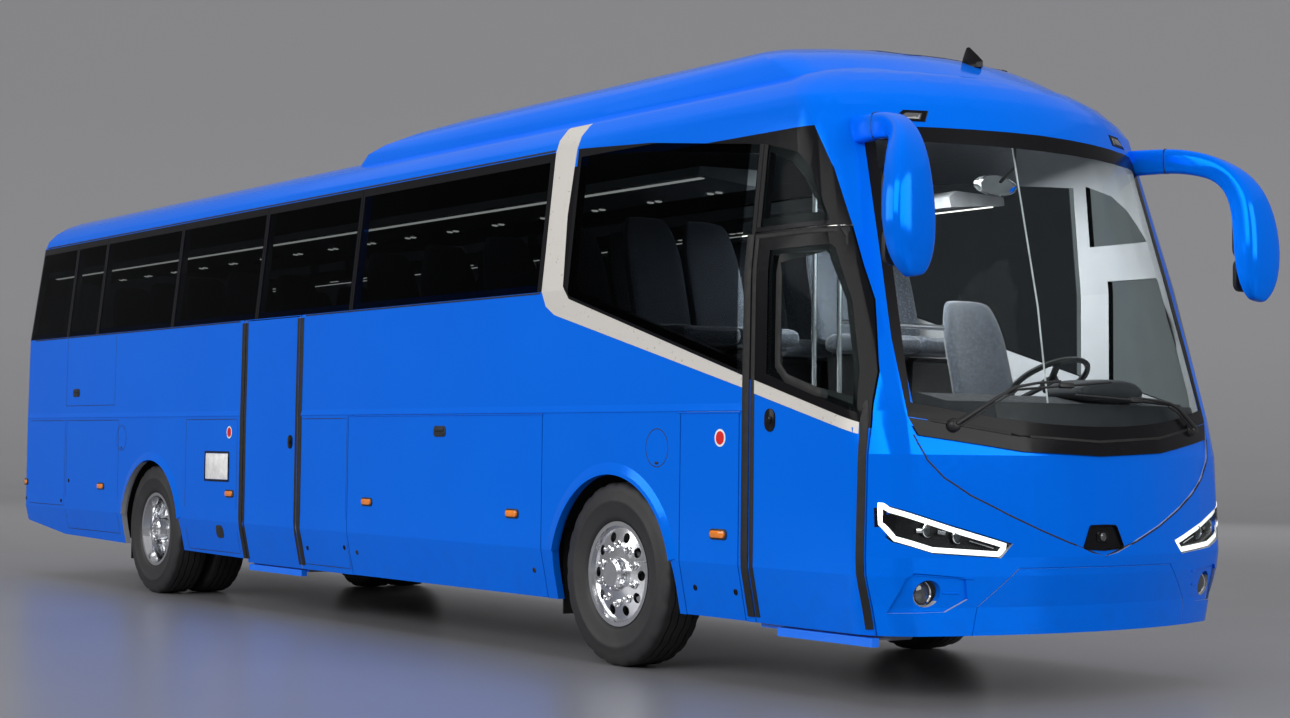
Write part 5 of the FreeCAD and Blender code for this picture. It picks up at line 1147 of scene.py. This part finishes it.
V_EDGE = ((0.0, 0.724), (0.240, 0.797), (0.420, 0.862), (0.599, 0.937), (0.800, 1.032), (0.930, 1.116),
          (1.010, 1.202), (1.046, 1.284), (1.060, 1.325))
SCREEN_FOOT = ((-1.070, 1.407), (-0.5, 1.321), (0.0, 1.297), (0.5, 1.321), (1.070, 1.407))


def front_lines():
    """The dark joint down each side of the V-shaped panel, and the seal under the windscreen."""
    line = [(-y - 0.004, z - 0.004) for y, z in V_EDGE]
    form = Form().ribbon(path_on(on_front, line, 6) + [on_front(*line[-1])], 0.008, 0.0012)
    form.copy_across().ribbon(path_on(on_front, SCREEN_FOOT, 10), 0.014, 0.003)
    form.piece("front_joints", RUBBER)


BROW_RECESS = [(-0.860, 2.925), (-0.690, 2.925), (-0.665, 2.985), (-0.790, 2.985)]
BROW_LAMP = [(-0.835, 2.936), (-0.715, 2.936), (-0.700, 2.970), (-0.780, 2.970)]


def marker_lamps():
    """The two lamps in the brow, each in a slanting black recess."""
    path = outline_on(on_front, BROW_RECESS, 4)
    recess = Form().lid(path, ((1.0, -0.010), (1.0, 0.0025), (0.93, 0.004), (0.90, 0.0015)),
                        middle_point([point for point, _ in path[::4]]))
    recess.copy_across().piece("brow_lamp_recesses", BLACK)
    lamp = Form().lid(outline_on(on_front, BROW_LAMP, 4),
                      ((1.0, -0.004), (1.0, 0.003), (0.9, 0.007), (0.6, 0.009)))
    lamp.copy_across().piece("brow_lamps", WHITE_LENS)


WIPERS = (
    (((-0.861, 1.368), (-0.76, 1.425), (-0.62, 1.500), (-0.500, 1.556), (-0.36, 1.580), (-0.22, 1.592)),
     ((-0.52, 1.545), (0.16, 1.602))),
    (((0.861, 1.368), (0.79, 1.420), (0.70, 1.475), (0.62, 1.500), (0.50, 1.510), (0.34, 1.520)),
     ((0.76, 1.492), (-0.12, 1.528))))
ARM_HEIGHT = 0.030
ARM_RADII = (0.013, 0.011, 0.009, 0.008, 0.007, 0.006)


def wipers():
    """Wiper arms lying over the foot of the windscreen, each with a jointed blade."""
    form = Form()
    for arm, blade in WIPERS:
        side = 1 if arm[0][0] > 0 else -1
        form.lathe(on_front(*arm[0]), ((0.036, -0.02), (0.034, 0.016), (0.024, 0.032), (0.012, 0.036)), 24)
        path = [moved(on_front(y, z), lift=ARM_HEIGHT)[0] for y, z in arm]
        form.tube(path, ARM_RADII, 10)
        form.tube([point - Z_WAY * 0.020 - Y_WAY * side * 0.006 for point in path[:4]], 0.005)
        spine = line_on(on_front, *blade, 20)
        form.ribbon([moved(seated, lift=0.003) for seated in spine], 0.008, 0.010, -0.0005)
        form.tube([moved(seated, lift=0.017)[0] for seated in spine], 0.0055)
        form.pad(moved(spine[10], lift=0.022), 0.10, 0.026, 0.012, 0.4)
    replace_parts(form.piece("wiper_arms_and_blades", DARK_PLASTIC), "wipers")


# Mirrors: each section has its middle, its way, and its half width and half depth.

MIRROR_SECTIONS = (
    ((1.690, -0.985, 2.868), (1.0, -0.07, -0.03), 0.074, 0.036),
    ((1.900, -1.030, 2.872), (1.0, -0.12, -0.02), 0.072, 0.040),
    ((2.110, -1.072, 2.862), (1.0, -0.28, -0.08), 0.068, 0.046),
    ((2.290, -1.140, 2.820), (0.9, -0.50, -0.45), 0.066, 0.058),
    ((2.405, -1.206, 2.738), (0.55, -0.45, -1.0), 0.068, 0.080),
    ((2.462, -1.247, 2.610), (0.20, -0.20, -1.0), 0.076, 0.112),
    ((2.486, -1.265, 2.450), (0.08, 0.0, -1.0), 0.080, 0.134),
    ((2.497, -1.265, 2.290), (0.06, 0.0, -1.0), 0.076, 0.141),
    ((2.506, -1.259, 2.150), (0.06, 0.05, -1.0), 0.058, 0.112),
    ((2.511, -1.243, 2.078), (0.06, 0.15, -1.0), 0.030, 0.058),
)
MIRROR_SIDES = 16
SQUARENESS = 5.0
ROOT_SUNK = 0.012


def horn_ring(centre, way, first, second):
    """One cross-section of the mirror's horn."""
    way = Vector(way).normalized()
    side = Z_WAY.cross(way) if abs(way.z) < 0.6 else Y_WAY
    side = (side - way * side.dot(way)).normalized()
    other = way.cross(side)
    middle = Vector((along(centre[0]), centre[1], centre[2]))
    ring = []
    for cos, sin in turns(MIRROR_SIDES):
        squared = (abs(cos) ** SQUARENESS + abs(sin) ** SQUARENESS) ** (-1 / SQUARENESS)
        ring.append(middle + side * (second * squared * cos) + other * (first * squared * sin))
    return ring


def horn_root(rings):
    """The ring where the horn enters the body: each line down the horn is followed to the shell."""
    root = []
    for index in range(MIRROR_SIDES):
        place = rings[0][index]
        for far, near in ((rings[2], rings[1]), (rings[1], rings[0])):
            way = near[index] - far[index]
            point, _, _, away = SHELL.ray_cast(far[index], way.normalized())
            if point is not None and away <= way.length:
                place = point + way.normalized() * ROOT_SUNK
                break
        root.append(place)
    return root


def mirrors():
    """Horn-shaped mirrors in place of the plain ones, with their glasses and joints."""
    outline = [horn_ring(*section) for section in MIRROR_SECTIONS]
    root = horn_root(outline)
    second = [(first + last) * 0.5 for first, last in zip(root, outline[2])]
    end = middle_point(outline[-1])
    tip = [point * 0.55 + end * 0.45 - Z_WAY * 0.006 for point in outline[-1]]
    form = Form().rings([root, second] + outline[2:] + [tip])
    form.faces.pop(-2)
    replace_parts(form.copy_across().piece("mirror_horns", PAINT, smooth_levels=2), "mirrors")
    ring = [first * 0.25 + last * 0.75 for first, last in zip(root, outline[2])]
    centre = middle_point(ring)
    loop = [(centre + (point - centre) * 1.002, (point - centre).normalized()) for point in ring]
    Form().ribbon(loop, 0.006, 0.0012, loop=True).copy_across().piece("mirror_joints", RUBBER)
    reflectors, frames = Form(), Form()
    for low, high, width in ((2.315, 2.575, 0.20), (2.135, 2.295, 0.19)):
        middle = Vector((along(2.492) - 0.072, -1.263, (low + high) / 2))
        frames.pad((middle, -X_WAY), width + 0.018, high - low + 0.018, 0.006, 0.25, sunk=0.02)
        reflectors.pad((middle - X_WAY * 0.005, -X_WAY), width, high - low, 0.003, 0.22)
    frames.copy_across().piece("mirror_frames", DARK_PLASTIC)
    reflectors.copy_across().piece("mirror_glasses", MIRROR_GLASS)


# The roof and the rear.

FIN = ((-0.085, 0.0), (-0.04, -0.028), (0.05, -0.024), (0.085, 0.0), (0.05, 0.024), (-0.04, 0.028))
ROOF_HATCHES = (-1.75, -4.35)
GRILLE_RUN = (0.55, 2.35, 19)
DOME_HATCH = (4.56, 5.02, -0.30, 0.30)
FIN_FOOT, WHIP_FOOT = (5.227, 0.0), (4.95, 0.50)
WHIP_CLEARANCE = 0.022
FIN_LEVELS = ((1.0, 0.0, -0.02), (1.0, 0.0, 0.012), (0.72, -0.012, 0.045), (0.4, -0.024, 0.078),
              (0.14, -0.032, 0.102))


def roof_parts():
    """The dome's hatch, aerials, roof hatches and the grilles of the air conditioner."""
    path = outline_on(on_top, box_corners(*DOME_HATCH))
    hatch = Form().lid(path, ((1.0, -0.01), (1.0, 0.002), (0.97, 0.004), (0.94, 0.002)))
    hatch.piece("dome_hatch", BLACK)
    foot, _ = on_top(*FIN_FOOT)
    fin = Form().rings([[foot + Vector((x * share + shift, y * share, rise)) for x, y in FIN]
                        for share, shift, rise in FIN_LEVELS])
    fin.piece("fin_aerial", BLACK)
    foot, _ = on_top(*WHIP_FOOT)
    rise = max(CAD_BOX[1][2] - WHIP_CLEARANCE - foot.z, 0.02)
    whip = Form().lathe((foot, Z_WAY), ((0.030, -0.01), (0.028, 0.008), (0.012, 0.016)), 20)
    whip.tube([foot + Vector(step) for step in ((0, 0, 0.01), (-0.30, 0, rise * 0.75), (-0.52, 0, rise))],
              (0.005, 0.003, 0.002))
    whip.piece("whip_aerial", BLACK)
    hatches = Form()
    for x in ROOF_HATCHES:
        path = outline_on(on_top, box_corners(x - 0.36, x + 0.36, -0.30, 0.30), 5)
        hatches.lid([(point, Z_WAY) for point, _ in path],
                    ((1.0, -0.01), (1.0, 0.018), (0.96, 0.030), (0.80, 0.036)))
    hatches.piece("roof_hatches", DARK_PLASTIC)
    grilles = Form()
    for x in np.linspace(*GRILLE_RUN):
        for low, high in ((0.10, 0.52), (-0.52, -0.10)):
            grilles.line(on_top, (x, low), (x, high), 5, 0.035, 0.006)
    grilles.piece("cooling_grilles", DARK_PLASTIC)


PLATE_HEIGHT, HANDLE_HEIGHT, UPPER_FITTING_HEIGHT, BRAKE_LIGHT_HEIGHT = 0.52, 0.66, 1.36, 2.96
REAR_WINDOW = (-0.955, 0.955, 2.228, 2.893)


def rear_parts():
    """Blank plate, dark fittings, lid handle, reflectors, high brake light and rear joints."""
    dark, red, joints = Form(), Form(), Form()
    Form().pad(on_rear(0.0, PLATE_HEIGHT), 0.52, 0.112, 0.004, 0.08).piece("blank_plate", WHITE)
    dark.pad(on_rear(0.0, UPPER_FITTING_HEIGHT), 0.24, 0.055, 0.008, 0.4, 0.4)
    for y in (-0.55, 0.55):
        dark.pad(on_rear(y, PLATE_HEIGHT), 0.10, 0.04, 0.009, 0.3)
    seated = on_rear(0.0, HANDLE_HEIGHT)
    Form().pad(seated, 0.22, 0.060, 0.006, 0.35).piece("lid_handle_dish", DARK_PLASTIC, "engine_lid")
    grip = Form().pad(moved(seated, 0.010), 0.18, 0.024, 0.009, 0.4, 0.5)
    grip.piece("lid_handle", BLACK, "engine_lid")
    dark.piece("rear_fittings", DARK_PLASTIC)
    for y in (-1.08, 1.08):
        red.pad(on_rear(y, HANDLE_HEIGHT), 0.14, 0.045, 0.008, 0.25)
    red.pad(on_rear(0.0, BRAKE_LIGHT_HEIGHT), 0.42, 0.030, 0.008, 0.4).piece("rear_reflectors", RED)
    joints.frame(on_rear, box_corners(*REAR_WINDOW), 0.016, 0.003, 10)
    joints.line(on_rear, (-1.12, 0.585), (1.12, 0.585), 24, *FINE_LINE)
    joints.piece("rear_joints", RUBBER)


# Seats: cushions, winged backs with head rests, and moulded bases, round each seat's own middle.

BENCH_LOW, BENCH_HIGH = 0.260, 1.115
SEATS_FRONT, SEAT_PITCH, SEAT_ROWS = 4.050, 0.790, 11
STAIR_ROWS = (5, 6)
SEAT_FLOOR = 1.4803
DRIVER_SEAT = (5.100, 0.430, 0.930, 1.0103)
SEAT_GAP = 0.006
CUSHION_SIDE = (
    (-0.385, 0.345), (-0.385, 0.400), (-0.370, 0.452), (-0.300, 0.462), (-0.180, 0.452), (-0.060, 0.452),
    (0.020, 0.448), (0.050, 0.425), (0.048, 0.375), (0.030, 0.345), (-0.060, 0.338), (-0.200, 0.338))
CUSHION_SPANS = ((-1.0, 0.55, 0.0), (-0.97, 0.90, 0.004), (-0.80, 1.0, 0.010), (-0.62, 1.0, 0.002),
                 (-0.35, 1.0, 0.0), (0.0, 1.0, 0.003), (0.35, 1.0, 0.0), (0.62, 1.0, 0.002),
                 (0.80, 1.0, 0.010), (0.97, 0.90, 0.004), (1.0, 0.55, 0.0))
BACK_LEVELS = (
    (-0.470, 0.400, 0.060, 0.94), (-0.452, 0.425, 0.082, 1.00), (-0.478, 0.560, 0.090, 1.00),
    (-0.515, 0.700, 0.086, 1.00), (-0.553, 0.840, 0.080, 1.00), (-0.582, 0.950, 0.074, 0.95),
    (-0.606, 1.030, 0.070, 0.84), (-0.624, 1.090, 0.058, 0.74), (-0.634, 1.115, 0.036, 0.58))
BACK_SECTION = (
    (-1.0, 0.15), (-0.93, 0.52), (-0.76, 0.56), (-0.45, 0.40), (0.0, 0.36), (0.45, 0.40), (0.76, 0.56),
    (0.93, 0.52), (1.0, 0.15), (0.90, -0.42), (0.45, -0.50), (0.0, -0.50), (-0.45, -0.50), (-0.90, -0.42))
BASE_SIDE = ((-0.36, 0.0), (-0.10, 0.0), (-0.08, 0.30), (-0.03, 0.325), (-0.39, 0.325), (-0.38, 0.30))
BACK_LEAN = Vector((0.965, 0, -0.262))


def seat_forms(cloth_form, plastic_form, x, low_y, high_y, floor):
    """One seat: crowned cushion, winged back and head rest, on a moulded base."""
    half = (high_y - low_y) / 2 - SEAT_GAP
    foot = Vector((x, (low_y + high_y) / 2, floor))
    rings = []
    for share, shrink, swell in CUSHION_SPANS:
        rings.append([foot + Vector((-0.17 + (px + 0.17) * (0.94 + 0.06 * shrink), share * half,
                                     0.398 + (pz - 0.398) * shrink + (swell if pz > 0.42 else 0)))
                      for px, pz in CUSHION_SIDE])
    cloth_form.rings(rings)
    rings = []
    for px, pz, thick, wide in BACK_LEVELS:
        out = BACK_LEAN if pz > 0.41 else X_WAY
        rings.append([foot + Vector((px, across * half * wide, pz)) + out * (depth * thick)
                      for across, depth in BACK_SECTION])
    cloth_form.rings(rings)
    plastic_form.rings([[foot + Vector((px, share * half, pz)) for px, pz in BASE_SIDE]
                        for share in (-0.86, -0.80, 0.80, 0.86)])


def finish_seats(cloth_form, plastic_form, cloth_name, base_name, node, levels):
    """Soft cushions and plastic bases in place of plain blocks."""
    made = cloth_form.piece(cloth_name, MATERIALS["seat_cloth"], smooth_levels=levels)
    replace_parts(made, node)
    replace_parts(plastic_form.piece(base_name, DARK_PLASTIC, slot="interior"), node)


def seats():
    """All the seats, in cloth with moulded bases, in place of the plain blocks."""
    half = (BENCH_HIGH - BENCH_LOW) / 2
    for side, name in SIDES:
        cloth_form, plastic_form = Form(), Form()
        for row in range(SEAT_ROWS):
            if side == RIGHT and row in STAIR_ROWS:
                continue
            for low in (BENCH_LOW, BENCH_LOW + half):
                ends = sorted((side * low, side * (low + half)))
                seat_forms(cloth_form, plastic_form, SEATS_FRONT - row * SEAT_PITCH, *ends, SEAT_FLOOR)
        finish_seats(cloth_form, plastic_form, "seats_" + name, "seat_bases_" + name, "passenger_seats", 1)
    cloth_form, plastic_form = Form(), Form()
    seat_forms(cloth_form, plastic_form, *DRIVER_SEAT)
    finish_seats(cloth_form, plastic_form, "driver_cushions", "driver_seat_base", "driver_seat", 2)


# Inside: lights, mirror, rod, instruments and rails.

SPOT_PITCH = 0.597
RACK_REAR, RACK_FRONT = -5.80, 4.25
STRIP_SIDE, SPOT_SIDE = -1.10, -0.765
RACKS = tree_of(["overhead_racks"])


def under_rack(x, y):
    """A point on the underside of the racks."""
    return seat(RACKS, (x, y, 2.0), Z_WAY)


def cabin_lights():
    """Light strips under the racks, near the windows, and pairs of reading lights."""
    strip, spots = Form(), Form()
    strip.line(under_rack, (RACK_REAR, STRIP_SIDE), (RACK_FRONT, STRIP_SIDE), 12, 0.030, 0.006)
    middle = RACK_FRONT - 0.33
    while middle > RACK_REAR + 0.2:
        for x in (middle - 0.04, middle + 0.04):
            spots.lathe(under_rack(x, SPOT_SIDE), ((0.022, -0.002), (0.022, 0.003), (0.017, 0.006)), 16)
        middle -= SPOT_PITCH
    strip.copy_across().piece("light_strips", CABIN_LIGHT)
    spots.copy_across().piece("reading_lights", CABIN_LIGHT)


COWL_SIDE = ((0.42, 1.50), (0.98, 1.50), (0.96, 1.60), (0.86, 1.645), (0.54, 1.645), (0.44, 1.60))
CAB_MIRROR = Vector((5.50, -0.09, 2.655))
RAIL_RADIUS = 0.016


def cab_parts():
    """Interior mirror on its bracket, windscreen rod, instruments and hand rails."""
    cowl = Form().rings([[Vector((x, y, z)) for y, z in COWL_SIDE] for x in (5.34, 5.36, 5.56, 5.64)])
    cowl.piece("instrument_cowl", DASH, smooth_levels=2)
    dials = Form()
    for y in (0.60, 0.80):
        dials.lathe((Vector((5.342, y, 1.575)), -X_WAY),
                    ((0.052, -0.004), (0.052, 0.004), (0.047, 0.005), (0.045, 0.001)), 36)
    dials.piece("dial_rings", CHROME)
    glassy = Form().rings([[CAB_MIRROR + Vector((shift, 0.158 * share * cos, 0.056 * share * sin))
                            for cos, sin in turns(32)]
                           for share, shift in ((0.90, 0.012), (1.0, 0.006), (1.0, 0.0), (0.94, -0.004))])
    glassy.piece("interior_mirror", MIRROR_GLASS)
    ceiling = seat(SHELL, (5.50, 0.041, 2.70), Z_WAY)[0]
    bracket = Form().tube([CAB_MIRROR + Vector((0.012, 0.03, 0.02)), Vector((5.53, 0.03, 2.76)),
                           ceiling + Z_WAY * 0.004], 0.009, 10)
    bracket.lathe((ceiling, -Z_WAY), ((0.030, -0.004), (0.028, 0.006), (0.014, 0.014)), 20)
    bracket.piece("interior_mirror_bracket", DARK_PLASTIC)
    head = seat(SHELL, (5.62, -0.13, 2.70), Z_WAY)[0]
    rod = Form().tube([head, Vector((5.79, -0.06, 2.0)), Vector((5.84, -0.03, 1.46))], 0.0045)
    rod.piece("windscreen_rod", WHITE)
    rails = Form()
    for path in (((4.60, -0.40, 1.481), (4.60, -0.40, 2.20), (4.60, -0.40, 2.69)),
                 ((4.38, -0.40, 1.481), (4.38, -0.40, 2.20), (4.38, -0.40, 2.69)),
                 ((4.60, -0.40, 1.95), (4.60, 0.02, 1.95), (4.60, 0.38, 1.95))):
        rails.tube([Vector(point) for point in path], RAIL_RADIUS, 12)
    rails.piece("cab_rails", ALLOY)


# Studio.

BOWL = ((14.0, 0.0), (30.0, 0.0), (40.0, 0.0), (47.0, 0.8), (53.0, 3.0), (58.0, 7.0), (61.0, 13.0),
        (62.0, 22.0), (62.0, 34.0))
BOWL_SIDES = 96
WORLD_GREY = (0.42, 0.42, 0.43, 1)
STUDIO_LAMPS = (
    ("key", (12.0, -20.0, 11.0), (1.5, 0, 1.6), (20.0, 9.0), 3000.0, True),
    ("top", (0.5, 0.0, 14.0), (0.5, 0, 0), (16.0, 9.0), 900.0, False),
    ("side", (-7.0, -20.0, 8.0), (-1.5, 0, 1.4), (18.0, 8.0), 1700.0, True),
    ("front", (22.0, 3.0, 7.5), (4.0, 0, 1.8), (12.0, 8.0), 1500.0, True),
    ("back", (-16.0, 16.0, 9.0), (-2.0, 0, 1.6), (18.0, 8.0), 1200.0, False),
    ("cab", (4.5, 0.1, 2.86), (4.8, 0.1, 1.0), (0.8, 1.5), 110.0, False))


def studio_floor():
    """A floor that sweeps up into the backdrop, with painted light: darker near the coach and pale far out,
    against the lamps' falloff.
    """
    sweep = bmesh.new()
    rings = [[sweep.verts.new((radius * cos, radius * sin, height)) for cos, sin in turns(BOWL_SIDES)]
             for radius, height in BOWL]
    sweep.faces.new(rings[0])
    for inner, outer in zip(rings, rings[1:]):
        for turn in range(BOWL_SIDES):
            after = (turn + 1) % BOWL_SIDES
            sweep.faces.new((inner[after], inner[turn], outer[turn], outer[after]))
    mesh = bpy.data.meshes.new("studio_floor")
    sweep.to_mesh(mesh)
    sweep.free()
    mesh.shade_smooth()
    floor = bpy.data.objects.new("studio_floor", mesh)
    SCENE.collection.objects.link(floor)
    r = Recipe("studio_floor")
    near = r.mottle(0.4, 3.0, (0.19, 0.19, 0.20), (0.21, 0.21, 0.22))
    away = r.math("POWER", r.math("ADD", r.math("POWER", r.axis("x"), 2.0),
                                  r.math("POWER", r.axis("y"), 2.0)), 0.5)
    # Painted light: the colour grows from dark near the coach to pale far out, evening out how the lamps
    # light the floor.
    distance_painted_tone = r.mix(r.ramp(away, 10.0, 55.0), near, (0.62, 0.62, 0.63))
    mesh.materials.append(r.surface(Base_Color=distance_painted_tone, Roughness=0.3))


def studio_light():
    """An even grey world and large soft lamps."""
    world = bpy.data.worlds.new("studio")
    SCENE.world = world
    world.use_nodes = True
    background = world.node_tree.nodes["Background"]
    background.inputs["Color"].default_value = WORLD_GREY
    background.inputs["Strength"].default_value = 1.0
    for name, place, aim, size, power, mirrored in STUDIO_LAMPS:
        data = bpy.data.lights.new(name, "AREA")
        data.shape = "RECTANGLE"
        data.size, data.size_y = size
        data.energy = power
        lamp = bpy.data.objects.new(name, data)
        lamp.location = place
        lamp.rotation_euler = (Vector(aim) - Vector(place)).to_track_quat("-Z", "Y").to_euler()
        lamp.visible_camera = False
        lamp.visible_glossy = mirrored
        SCENE.collection.objects.link(lamp)


make_camera()
finish_nodes()
for node_name, node in NODES.items():
    soften(node, node_name in PANEL_NODES)
for build in (side_joints, side_markers, locks, service_box, round_signs, door_seals, door_stripe,
              door_fittings, glass_trims, tyres, wheel_fittings, headlamps, fog_lamps, front_camera,
              front_lines, marker_lamps, wipers, mirrors, roof_parts, rear_parts, seats, cabin_lights,
              cab_parts, studio_floor, studio_light):
    build()
